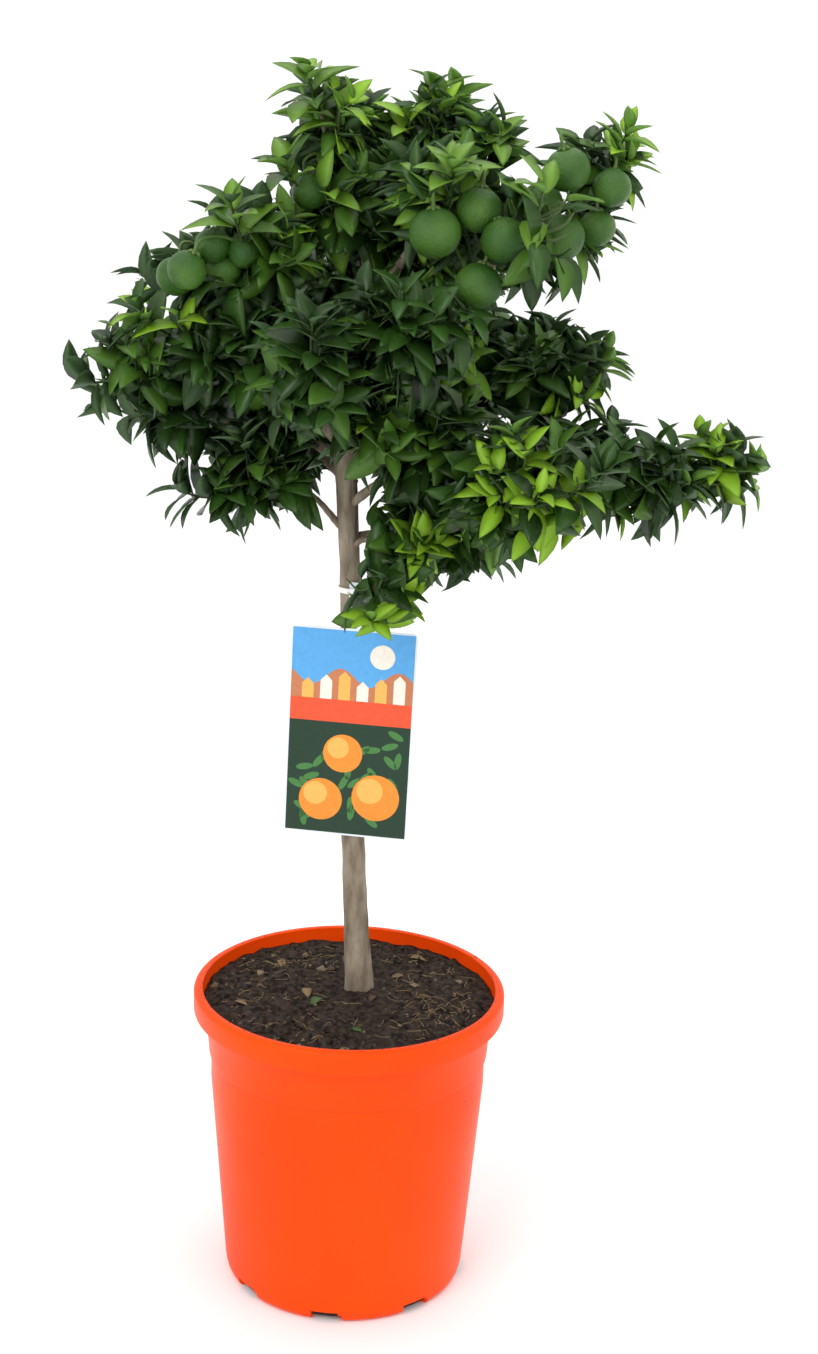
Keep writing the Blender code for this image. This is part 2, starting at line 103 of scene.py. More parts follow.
def effect_group(name: str, kind: str) -> bpy.types.NodeTree:
    """Build a shared node group of object-space noise, once.

    Args:
        name: the group's name.
        kind: the name of its output, either Mask or Height.

    Returns:
        The group, with inputs Scale, Stretch and Contrast.
    """
    if name in bpy.data.node_groups:
        return bpy.data.node_groups[name]
    group = bpy.data.node_groups.new(name, "ShaderNodeTree")
    for label, value in (("Scale", 50.0), ("Stretch", 1.0), ("Contrast", 0.5)):
        socket = group.interface.new_socket(label, in_out="INPUT", socket_type="NodeSocketFloat")
        socket.default_value = value
    group.interface.new_socket(kind, in_out="OUTPUT", socket_type="NodeSocketFloat")
    nodes = group.nodes
    inside, outside = nodes.new("NodeGroupInput"), nodes.new("NodeGroupOutput")
    where = nodes.new("ShaderNodeTexCoord")
    combine = nodes.new("ShaderNodeCombineXYZ")
    combine.inputs["X"].default_value = 1.0
    combine.inputs["Y"].default_value = 1.0
    stretched = nodes.new("ShaderNodeVectorMath")
    stretched.operation = "MULTIPLY"
    texture = nodes.new("ShaderNodeTexNoise")
    texture.inputs["Detail"].default_value = NOISE_DETAIL
    spread = nodes.new("ShaderNodeMapRange")
    link(group, inside.outputs["Stretch"], combine.inputs["Z"])
    link(group, where.outputs["Object"], stretched.inputs[0])
    link(group, combine.outputs["Vector"], stretched.inputs[1])
    link(group, stretched.outputs["Vector"], texture.inputs["Vector"])
    link(group, inside.outputs["Scale"], texture.inputs["Scale"])
    link(group, texture.outputs["Fac"], spread.inputs["Value"])
    for end, reach, rest in (("From Min", CONTRAST_REACH, NOISE_LOW),
                             ("From Max", -CONTRAST_REACH, NOISE_HIGH)):
        edge = nodes.new("ShaderNodeMath")
        edge.operation = "MULTIPLY_ADD"
        edge.inputs[1].default_value = reach
        edge.inputs[2].default_value = rest
        link(group, inside.outputs["Contrast"], edge.inputs[0])
        link(group, edge.outputs["Value"], spread.inputs[end])
    link(group, spread.outputs["Result"], outside.inputs[kind])
    return group


def place_effect(tree: bpy.types.NodeTree, name: str, kind: str, scale: float,
                 stretch: float = 1.0, contrast: float = 0.5) -> bpy.types.NodeSocket:
    """Place an effect's node group in a material with its own values.

    Args:
        tree: the material's nodes.
        name: the group's name.
        kind: the name of its output, either Mask or Height.
        scale: how fine the noise is.
        stretch: how much finer it is along the object's height than across.
        contrast: how hard its edges are.

    Returns:
        The group's output.
    """
    node = tree.nodes.new("ShaderNodeGroup")
    node.node_tree = effect_group(name, kind)
    for label, value in (("Scale", scale), ("Stretch", stretch), ("Contrast", contrast)):
        node.inputs[label].default_value = value
    return node.outputs[kind]


def new_material(name: str, shine: float) -> tuple[bpy.types.Material, bpy.types.ShaderNode]:
    """Start a material.

    Args:
        name: its name.
        shine: how strongly it reflects.

    Returns:
        The material and its shader.
    """
    made = bpy.data.materials.new(name)
    made.use_nodes = True
    shader = made.node_tree.nodes["Principled BSDF"]
    shader.inputs["Specular IOR Level"].default_value = shine
    return made, shader


def vary_roughness(tree: bpy.types.NodeTree, shader: bpy.types.ShaderNode,
                   mask: bpy.types.NodeSocket, roughness: float) -> None:
    """Let a mask swing a shader's roughness a little either way.

    Args:
        tree: the material's nodes.
        shader: the shader.
        mask: the mask that makes it smoother.
        roughness: the roughness in the middle of the swing.
    """
    swing = tree.nodes.new("ShaderNodeMapRange")
    swing.inputs["To Min"].default_value = min(1.0, roughness + ROUGHNESS_SWING)
    swing.inputs["To Max"].default_value = max(SMOOTHEST, roughness - ROUGHNESS_SWING)
    link(tree, mask, swing.inputs["Value"])
    link(tree, swing.outputs["Result"], shader.inputs["Roughness"])


@dataclass(frozen=True)
class Finish:
    """A two-tone surface with mottled colour, uneven roughness and a fine relief."""

    name: str
    dark: Colour
    light: Colour
    roughness: float = 0.6
    scale: float = 60.0
    stretch: float = 1.0
    contrast: float = 0.5
    relief: float = 0.2
    relief_scale: float = 400.0
    relief_depth: float = 0.0004
    shine: float = 0.3

    def build(self) -> bpy.types.Material:
        """Make the finish's material.

        Returns:
            The material, made once for each name.
        """
        if self.name in bpy.data.materials:
            return bpy.data.materials[self.name]
        made, shader = new_material(self.name, self.shine)
        tree = made.node_tree
        mask = place_effect(tree, "mottle", "Mask", self.scale, self.stretch, self.contrast)
        height = place_effect(tree, "grain", "Height", self.relief_scale, self.stretch, self.contrast)
        tone = tree.nodes.new("ShaderNodeMix")
        tone.data_type = "RGBA"
        tone.inputs[MIX_DARK].default_value = (*self.dark, 1.0)
        tone.inputs[MIX_LIGHT].default_value = (*self.light, 1.0)
        bump = tree.nodes.new("ShaderNodeBump")
        bump.inputs["Strength"].default_value = self.relief
        bump.inputs["Distance"].default_value = self.relief_depth
        link(tree, mask, tone.inputs[MIX_FACTOR])
        link(tree, tone.outputs[MIX_RESULT], shader.inputs["Base Color"])
        link(tree, height, bump.inputs["Height"])
        link(tree, bump.outputs["Normal"], shader.inputs["Normal"])
        vary_roughness(tree, shader, mask, self.roughness)
        return made


@dataclass(frozen=True)
class LeafFinish:
    """One plain leaf colour, dealt out by spray, with a gloss that varies over the blade."""

    name: str
    colour: Colour
    roughness: float
    shine: float = 0.3
    gloss_scale: float = 90.0

    def build(self) -> bpy.types.Material:
        """Make the leaf's material.

        Returns:
            The material.
        """
        made, shader = new_material(self.name, self.shine)
        tree = made.node_tree
        shader.inputs["Base Color"].default_value = (*self.colour, 1.0)
        mask = place_effect(tree, "mottle", "Mask", self.gloss_scale)
        vary_roughness(tree, shader, mask, self.roughness)
        return made


TREE_BARK = Finish("tree_bark", (0.130, 0.098, 0.068), (0.340, 0.285, 0.210), 0.85, scale=120.0,
                   stretch=0.3, contrast=0.6, relief=0.6, relief_scale=500.0, relief_depth=0.0008)
GREEN_TWIG = Finish("green_twig", (0.035, 0.075, 0.018), (0.10, 0.14, 0.045), 0.6)
PEEL = Finish("peel", (0.026, 0.085, 0.010), (0.075, 0.170, 0.024), 0.34, scale=28.0,
              contrast=0.7, relief=0.5, relief_scale=900.0, relief_depth=0.0006)
STALK = Finish("stalk", (0.05, 0.11, 0.02), (0.12, 0.19, 0.05), 0.6)
POT_PLASTIC = Finish("orange_plastic", (0.80, 0.052, 0.0), (0.93, 0.072, 0.0), 0.40, scale=9.0,
                     contrast=0.4, relief=0.05, relief_scale=700.0, shine=0.12)
DIRT = Finish("dirt", (0.020, 0.012, 0.008), (0.080, 0.045, 0.030), 0.9)
EARTH = Finish("earth", (0.008, 0.005, 0.004), (0.060, 0.038, 0.024), 0.92, scale=220.0,
               contrast=0.7, relief=0.8, relief_scale=900.0, relief_depth=0.0012)
BARK_BIT = Finish("bark_bit", (0.030, 0.018, 0.010), (0.120, 0.075, 0.045), 0.85)
PALE_BIT = Finish("pale_bit", (0.120, 0.085, 0.050), (0.260, 0.190, 0.120), 0.85)
STRAW = Finish("straw", (0.16, 0.10, 0.045), (0.36, 0.25, 0.12), 0.8)
CARD_PLASTIC = Finish("card_plastic", (0.62, 0.68, 0.75), (0.80, 0.84, 0.88), 0.35, relief=0.03)
TIE_PLASTIC = Finish("tie_plastic", (0.78, 0.78, 0.76), (0.88, 0.88, 0.86), 0.45, relief=0.05)
STUDIO_FLOOR = Finish("studio_floor", (0.93, 0.93, 0.93), (0.97, 0.97, 0.97), 0.9, scale=2.0,
                      relief=0.0)
LEAF_FINISHES = (
    LeafFinish("leaf_dark", (0.018, 0.050, 0.008), 0.30),
    LeafFinish("leaf_deep", (0.030, 0.082, 0.011), 0.32),
    LeafFinish("leaf_mid", (0.062, 0.145, 0.016), 0.34),
    LeafFinish("leaf_fresh", (0.125, 0.255, 0.022), 0.38),
    LeafFinish("leaf_lime", (0.230, 0.430, 0.022), 0.42),
    LeafFinish("leaf_under", (0.055, 0.110, 0.040), 0.60),
    LeafFinish("leaf_under_young", (0.150, 0.300, 0.050), 0.55),
)
FALLEN_FINISHES = (
    LeafFinish("dead_leaf", (0.230, 0.150, 0.075), 0.8),
    LeafFinish("fallen_leaf", (0.060, 0.120, 0.025), 0.6),
)


class Leafage(Enum):
    """The colour classes that whole sprays of leaves are dealt, by their place in LEAF_FINISHES."""

    DARK = 0
    DEEP = 1
    MID = 2
    FRESH = 3
    LIME = 4

    def underside(self) -> int:
        """The underside's place in LEAF_FINISHES: the last for young leaves, or the one before."""
        return 6 if self in (Leafage.FRESH, Leafage.LIME) else 5


@dataclass
class MeshBag:
    """Vertices, faces and material numbers gathered for one joined piece."""

    verts: list[Vector] = field(default_factory=list)
    faces: list[Face] = field(default_factory=list)
    slots: list[int] = field(default_factory=list)

    def add(self, verts: list[Vector], faces: list[Face], slot: int = 0) -> None:
        """Put one more shell in the bag.

        Args:
            verts: its vertices.
            faces: its faces, numbered from its own first vertex.
            slot: its material number.
        """
        base = len(self.verts)
        self.verts.extend(verts)
        self.faces.extend(tuple(base + i for i in face) for face in faces)
        self.slots.extend([slot] * len(faces))

    def piece(self, name: str, materials: list[bpy.types.Material], slot: str,
              nodes: list[str] | None = None, smooth: bool = True) -> bpy.types.Object:
        """Turn the bag into one scene object that rides on the frame's body.

        Args:
            name: the object's name.
            materials: its materials, by number.
            slot: a material slot's name; not used.
            nodes: the nodes that it stands for.
            smooth: whether its faces are smooth-shaded.

        Returns:
            The object.
        """
        mesh = bpy.data.meshes.new(name)
        mesh.from_pydata(self.verts, [], self.faces)
        mesh.polygons.foreach_set("material_index", self.slots)
        mesh.polygons.foreach_set("use_smooth", [smooth] * len(self.faces))
        for made in materials:
            mesh.materials.append(made)
        mesh.update()
        obj = bpy.data.objects.new(name, mesh)
        bpy.context.scene.collection.objects.link(obj)
        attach(obj, "root")
        if nodes:
            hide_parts(*nodes)
        LOG.info("%s: %d faces", name, len(self.faces))
        return obj


def smooth_path(points: list[Vector], count: int) -> list[Vector]:
    """Resample a path as an even Catmull-Rom curve.

    Args:
        points: the path's corners.
        count: how many points to return.

    Returns:
        The new path, ends included.
    """
    padded = [points[0] * 2 - points[1], *points, points[-1] * 2 - points[-2]]
    found = []
    for i in range(count):
        s = i / (count - 1) * (len(points) - 1)
        k = min(int(s), len(points) - 2)
        t = s - k
        a, b, c, d = padded[k:k + 4]
        found.append(0.5 * (2 * b + (c - a) * t + (2 * a - 5 * b + 4 * c - d) * t * t
                            + (3 * b - a - 3 * c + d) * t ** 3))
    return found


def tapering(root: float, drop: float, count: int) -> list[float]:
    """Radii that fall evenly from the root's by the given drop."""
    return [root - drop * i / (count - 1) for i in range(count)]


def ring_faces(rings: int, sides: int, first: int = 0, flip: bool = False) -> list[Face]:
    """Join each ring of vertices to the next with quads.

    Args:
        rings: how many rings there are.
        sides: how many vertices each has.
        first: the first ring's first vertex.
        flip: whether the quads run the other way round.

    Returns:
        The quads.
    """
    faces = []
    for i in range(rings - 1):
        a, b = first + i * sides, first + (i + 1) * sides
        for k in range(sides):
            n = (k + 1) % sides
            faces.append((a + k, b + k, b + n, a + n) if flip else (a + k, a + n, b + n, b + k))
    return faces


def add_tube(bag: MeshBag, points: list[Vector], radii: list[float], sides: int, slot: int = 0,
             relief: float = 0.0) -> None:
    """Skin a path as a closed tube.

    Args:
        bag: where the tube goes.
        points: its centreline.
        radii: its radius at each point.
        sides: its number of sides.
        slot: its material number.
        relief: the depth of its bark ridges.
    """
    verts = []
    side = Vector((1.0, 0.0, 0.0))
    last = len(points) - 1
    for i, (point, radius) in enumerate(zip(points, radii)):
        along = (points[min(i + 1, last)] - points[max(i - 1, 0)]).normalized()
        side = side - along * side.dot(along)
        if side.length < 1e-3:
            side = along.orthogonal()
        side.normalize()
        up = along.cross(side)
        for k in range(sides):
            a = FULL_TURN * k / sides
            way = side * math.cos(a) + up * math.sin(a)
            reach = radius
            if relief:
                spot = point + way * radius
                ridge = noise.noise(Vector((spot.x * RIDGES_ACROSS, spot.y * RIDGES_ACROSS,
                                            spot.z * RIDGES_UPWARDS)))
                knob = noise.noise(spot * KNOB_SCALE)
                reach += relief * (ridge + KNOB_SHARE * knob)
            verts.append(point + way * reach)
    faces = ring_faces(len(points), sides)
    faces.append(tuple(reversed(range(sides))))
    faces.append(tuple(range(last * sides, (last + 1) * sides)))
    bag.add(verts, faces, slot)


def node_points(name: str) -> list[Vector]:
    """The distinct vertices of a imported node."""
    seen = {tuple(round(c, WELD_DIGITS) for c in vert.co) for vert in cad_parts[name].data.vertices}
    return [Vector(spot) for spot in sorted(seen)]


def middle(points: list[Vector]) -> Vector:
    """The mean of some points."""
    return sum(points, Vector()) / len(points)


def mean_reach(points: list[Vector], centre: Vector) -> float:
    """The mean distance of some points from a centre."""
    return sum((p - centre).length for p in points) / len(points)


def box_centre(name: str) -> Vector:
    """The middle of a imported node's box."""
    low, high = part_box(name)
    return (Vector(low) + Vector(high)) / 2


def limb_of(name: str) -> str:
    """The limb that a mass is numbered along."""
    return name.removeprefix("mass_").rsplit("_", 1)[0]


@dataclass
class Skeleton:
    """Trunk, leader and boughs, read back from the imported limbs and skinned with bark."""

    trunk_points: int = 170
    trunk_sides: int = 30
    trunk_relief: float = 0.00055
    trunk_sunk: float = 0.004
    trunk_top: Place = (-0.0002, 0.0002, 0.003)
    foot_flare: float = 1.06
    top_taper: float = 0.8
    knots: int = 7
    knot_margin: int = 20
    knot_seat: float = 0.7
    knot_steps: tuple[float, ...] = (0.0, 0.0022, 0.0034)
    knot_radii: tuple[float, ...] = (0.0024, 0.0016, 0.0006)
    knot_sides: int = 8
    knot_relief: float = 0.0002
    packed_sides: int = 7
    packed_rings: int = 6
    taper: float = 0.62
    bough_points: int = 30
    bough_sides: int = 12
    bough_relief: float = 0.0003
    bough_overlap: float = 0.006
    bare_points: int = 8
    trunk_path: list[Vector] = field(default_factory=list)
    tips: dict[str, Vector] = field(default_factory=dict)
    nodes: list[Vector] = field(default_factory=list)
    boughs: MeshBag = field(default_factory=MeshBag)

    def read_trunk(self) -> tuple[list[Vector], list[float]]:
        """Find the trunk's centreline and radii from its level rings.

        Returns:
            The centreline and the radii.
        """
        rings: dict[float, list[Vector]] = {}
        for point in node_points("trunk"):
            rings.setdefault(round(point.z, 4), []).append(point)
        path = [middle(rings[height]) for height in sorted(rings)]
        radii = [mean_reach(rings[height], centre) for height, centre in zip(sorted(rings), path)]
        return path, radii

    def build_trunk(self, bark: bpy.types.Material) -> None:
        """Skin the trunk with ridged bark and a few knots.

        Args:
            bark: its material.
        """
        path, radii = self.read_trunk()
        self.trunk_path = path
        foot = path[0] - UP * self.trunk_sunk
        top = path[-1] + Vector(self.trunk_top)
        line = smooth_path([foot, *path, top], self.trunk_points)
        ends = [radii[0] * self.foot_flare, *radii, radii[-1] * self.top_taper]
        marks = smooth_path([Vector((radius, 0, 0)) for radius in ends], self.trunk_points)
        widths = [mark.x for mark in marks]
        bag = MeshBag()
        add_tube(bag, line, widths, self.trunk_sides, relief=self.trunk_relief)
        rng = random.Random("knots")
        for _ in range(self.knots):
            i = rng.randrange(self.knot_margin, self.trunk_points - self.knot_margin)
            a = rng.uniform(0, FULL_TURN)
            way = Vector((math.cos(a), math.sin(a), 0.5)).normalized()
            root = line[i] + way * widths[i] * self.knot_seat
            add_tube(bag, [root + way * step for step in self.knot_steps], list(self.knot_radii),
                     self.knot_sides, relief=self.knot_relief)
        bag.piece("trunk_bark", [bark], "bark", ["trunk"])

    def read_bough(self, name: str) -> tuple[list[Vector], float]:
        """Find a bough's centreline by peeling its rings from the tip.

        Args:
            name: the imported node.

        Returns:
            The centreline from the stem outwards, and the radius at its tip.
        """
        points = node_points(name)
        centre = middle(points)
        stem = min(self.trunk_path + self.nodes, key=lambda p: (p - centre).length)
        far = max(points, key=lambda p: (p - stem).length)
        chord = (far - stem).normalized()
        points.sort(key=lambda p: -(p - stem).dot(chord))
        rings = []
        while len(points) >= self.packed_sides and len(rings) < self.packed_rings:
            rings.append(points[:self.packed_sides])
            points = points[self.packed_sides:]
        path = [middle(ring) for ring in rings]
        radius = mean_reach(rings[0], path[0])
        path.append(path[-1] + (path[-1] - path[-2]).normalized() * self.bough_overlap)
        return list(reversed(path)), radius

    def build_boughs(self) -> None:
        """Skin the leader and every bough, and note where each ends."""
        names = sorted(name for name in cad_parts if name.startswith("bough_"))
        names.sort(key=lambda name: name != "bough_leader")
        for name in names:
            path, radius = self.read_bough(name)
            line = smooth_path(path, self.bough_points)
            root = radius / self.taper
            radii = tapering(root, root - radius, self.bough_points)
            add_tube(self.boughs, line, radii, self.bough_sides, relief=self.bough_relief)
            self.tips[name.removeprefix("bough_")] = line[-1]
            self.nodes.extend(line[self.bare_points:])


@dataclass(frozen=True)
class Fruit:
    """One fruit: where it shows in the picture plane, how wide it is and how far forward it hangs."""

    x: float
    z: float
    width: float
    y: float

    def centre(self) -> Vector:
        """The fruit's centre, slid along its line of sight from the picture plane."""
        share = (self.y - EYE.y) / -EYE.y
        return EYE + (Vector((self.x, 0.0, self.z)) - EYE) * share

    def radius(self) -> float:
        """The fruit's radius at its own depth."""
        return self.width / 2 * (self.y - EYE.y) / -EYE.y


FRUITS = (
    Fruit(0.1272, 0.7804, 0.029, -0.052), Fruit(0.1557, 0.7699, 0.025, -0.046),
    Fruit(0.1475, 0.7449, 0.024, -0.034), Fruit(0.1248, 0.7382, 0.031, -0.055),
    Fruit(0.1117, 0.7591, 0.027, -0.028), Fruit(0.0442, 0.7396, 0.034, -0.090),
    Fruit(0.0718, 0.7545, 0.030, -0.082), Fruit(0.0885, 0.7361, 0.030, -0.094),
    Fruit(0.0729, 0.7069, 0.031, -0.088), Fruit(-0.0983, 0.7284, 0.023, -0.052),
    Fruit(-0.1143, 0.7129, 0.026, -0.066), Fruit(-0.1214, 0.7090, 0.026, -0.042),
    Fruit(-0.0771, 0.7257, 0.023, -0.050), Fruit(-0.0905, 0.7134, 0.023, -0.044),
    Fruit(-0.0360, 0.7633, 0.0235, -0.030), Fruit(-0.0350, 0.7000, 0.029, 0.118),
    Fruit(-0.0080, 0.6850, 0.027, 0.128), Fruit(0.0620, 0.6600, 0.030, 0.130),
    Fruit(0.0850, 0.6800, 0.026, 0.122), Fruit(-0.0900, 0.6200, 0.028, 0.095),
)


@dataclass
class Fruits:
    """The green fruit with their calyxes and stalks."""

    rings: int = 18
    sides: int = 28
    pole_gap: float = 0.02
    flatness: float = 0.95
    stalk_dip: float = 0.10
    stalk_dip_angle: float = 0.24
    nipple: float = 0.03
    nipple_angle: float = 0.16
    lumps: float = 0.025
    lump_scale: float = 2.2
    lump_shift: int = 40
    tilt_across: Range = (-0.5, 0.5)
    tilt_back: Range = (-0.2, 0.6)
    stalk_seat: float = 0.86
    stalk_points: int = 14
    stalk_radii: tuple[float, ...] = (0.0024, 0.0017)
    stalk_radius: float = 0.0011
    stalk_sides: int = 7
    stalk_bend: float = 0.010
    stalk_sunk: float = 0.001
    stalk_rise: float = 0.006
    sepals: int = 5
    sepal_sides: int = 5
    sepal_steps: tuple[Range, ...] = ((0.0, 0.0012), (0.0028, 0.0012), (0.0046, 0.0004))
    sepal_radii: tuple[float, ...] = (0.0016, 0.0014, 0.0004)

    def add_fruit(self, bag: MeshBag, fruit: Fruit, rng: random.Random) -> Vector:
        """Add one slightly flattened fruit.

        Args:
            bag: where it goes.
            fruit: the fruit.
            rng: the source of its tilt.

        Returns:
            The middle of its stalk end.
        """
        tilt = Vector((rng.uniform(*self.tilt_across), rng.uniform(*self.tilt_back), 1.0)).normalized()
        side = tilt.orthogonal().normalized()
        other = tilt.cross(side)
        centre, radius = fruit.centre(), fruit.radius()
        verts = []
        for i in range(self.rings + 1):
            a = math.pi * (i + self.pole_gap) / (self.rings + 2 * self.pole_gap)
            dip = self.stalk_dip * math.exp(-(a / self.stalk_dip_angle) ** 2)
            dip -= self.nipple * math.exp(-((math.pi - a) / self.nipple_angle) ** 2)
            for k in range(self.sides):
                b = FULL_TURN * k / self.sides
                way = (side * math.cos(b) + other * math.sin(b)) * math.sin(a)
                way += tilt * math.cos(a) * self.flatness
                spot = way * self.lump_scale + centre * self.lump_shift
                lump = 1 + self.lumps * noise.noise(spot)
                verts.append(centre + way * radius * (lump - dip))
        faces = ring_faces(self.rings + 1, self.sides, flip=True)
        faces.append(tuple(range(self.sides)))
        faces.append(tuple(reversed(range(self.rings * self.sides, (self.rings + 1) * self.sides))))
        bag.add(verts, faces)
        return centre + tilt * radius * self.stalk_seat

    def add_stalk(self, bag: MeshBag, top: Vector, out: Vector, near: Vector) -> None:
        """Add one stalk and its calyx.

        Args:
            bag: where they go.
            top: the middle of the fruit's stalk end.
            out: the way out of the fruit there.
            near: where the stalk leaves its limb.
        """
        bend = top + out * self.stalk_bend
        crest = (bend + near) / 2 + UP * self.stalk_rise
        line = smooth_path([top - out * self.stalk_sunk, bend, crest, near], self.stalk_points)
        thin = self.stalk_points - len(self.stalk_radii)
        add_tube(bag, line, [*self.stalk_radii] + [self.stalk_radius] * thin, self.stalk_sides)
        side = out.orthogonal().normalized()
        other = out.cross(side)
        for k in range(self.sepals):
            a = FULL_TURN * k / self.sepals
            way = side * math.cos(a) + other * math.sin(a)
            line = [top + way * wide + out * rise for wide, rise in self.sepal_steps]
            add_tube(bag, line, list(self.sepal_radii), self.sepal_sides)

    def build(self, skeleton: Skeleton) -> None:
        """Build every fruit, its calyx and its stalk back to the nearest limb.

        Args:
            skeleton: the limbs.
        """
        rng = random.Random("fruit")
        fruit_bag, stalk_bag = MeshBag(), MeshBag()
        for fruit in FRUITS:
            top = self.add_fruit(fruit_bag, fruit, rng)
            near = min(skeleton.nodes, key=lambda p: (p - top).length)
            self.add_stalk(stalk_bag, top, (top - fruit.centre()).normalized(), near)
        fruit_bag.piece("fruit", [PEEL.build()], "foliage")
        stalk_bag.piece("fruit_stalks", [STALK.build()], "foliage")


@dataclass(frozen=True)
class YoungSpot:
    """A place in the crown where sprays are young and lime green."""

    x: float
    z: float
    radius: float


YOUNG_SPOTS = (
    YoungSpot(-0.024, 0.828, 0.034), YoungSpot(0.013, 0.809, 0.024), YoungSpot(0.047, 0.818, 0.020),
    YoungSpot(0.158, 0.800, 0.026), YoungSpot(0.086, 0.597, 0.024), YoungSpot(0.106, 0.574, 0.030),
    YoungSpot(0.157, 0.568, 0.022), YoungSpot(0.245, 0.584, 0.032), YoungSpot(0.002, 0.504, 0.020),
    YoungSpot(0.037, 0.539, 0.012), YoungSpot(-0.052, 0.728, 0.020), YoungSpot(0.150, 0.648, 0.026),
    YoungSpot(-0.124, 0.671, 0.020), YoungSpot(0.023, 0.638, 0.020),
)

BLADE_STATIONS = (0.10, 0.28, 0.48, 0.68, 0.86)
BLADE_HALF: Range = (0.215, 0.275)
BLADE_CURL: Range = (0.12, 0.48)
BLADE_FOLD: Range = (0.25, 0.6)
BLADE_TWIST = 0.18
BLADE_THICKNESS = 0.0004
BLADE_WIDEST = 0.82
BLADE_FULLNESS = 0.85


@dataclass(frozen=True)
class Blade:
    """One leaf: a thin closed blade, folded along its midrib, bent back and pointed."""

    base: Vector
    way: Vector
    side: Vector
    normal: Vector
    length: float
    half: float
    curl: float
    fold: float
    twist: float

    @classmethod
    def draw(cls, base: Vector, way: Vector, face: Vector, length: float,
             rng: random.Random) -> "Blade":
        """Draw a blade's own shape by chance.

        Args:
            base: where its stalk leaves the twig.
            way: where it points.
            face: roughly which way its upper side faces.
            length: its length.
            rng: the source of chance.

        Returns:
            The blade.
        """
        side = way.cross(face).normalized()
        normal = side.cross(way).normalized()
        return cls(base, way, side, normal, length,
                   half=length * rng.uniform(*BLADE_HALF), curl=length * rng.uniform(*BLADE_CURL),
                   fold=rng.uniform(*BLADE_FOLD), twist=rng.uniform(-BLADE_TWIST, BLADE_TWIST))

    def midrib(self, t: float) -> Vector:
        """A point of the midrib before its twist, from the base at 0 to the tip at 1."""
        return self.base + self.way * self.length * t - self.normal * self.curl * t * t

    def mesh(self, bag: MeshBag, upper_slot: int, under_slot: int) -> None:
        """Add the blade to a bag.

        Args:
            bag: where it goes.
            upper_slot: the upper side's material number.
            under_slot: the underside's material number.
        """
        verts = [self.base.copy()]
        for t in BLADE_STATIONS:
            centre = self.midrib(t)
            centre += self.side * self.twist * self.length * t * (1 - t)
            wide = self.half * math.sin(math.pi * t ** BLADE_WIDEST) ** BLADE_FULLNESS
            lift = self.normal * self.fold * wide
            verts += [centre - self.side * wide + lift, centre, centre + self.side * wide + lift,
                      centre - self.normal * BLADE_THICKNESS]
        verts.append(self.midrib(1.0))
        upper, under = [(0, 2, 1), (0, 3, 2)], [(0, 1, 4), (0, 4, 3)]
        for i in range(len(BLADE_STATIONS) - 1):
            a, b = 1 + 4 * i, 5 + 4 * i
            upper += [(a, a + 1, b + 1, b), (a + 1, a + 2, b + 2, b + 1)]
            under += [(a, b, b + 3, a + 3), (a + 3, b + 3, b + 2, a + 2)]
        tip = len(verts) - 1
        a = tip - 4
        upper += [(a, a + 1, tip), (a + 1, a + 2, tip)]
        under += [(a, tip, a + 3), (a + 3, tip, a + 2)]
        bag.add(verts, upper + under, upper_slot)
        bag.slots[-len(under):] = [under_slot] * len(under)


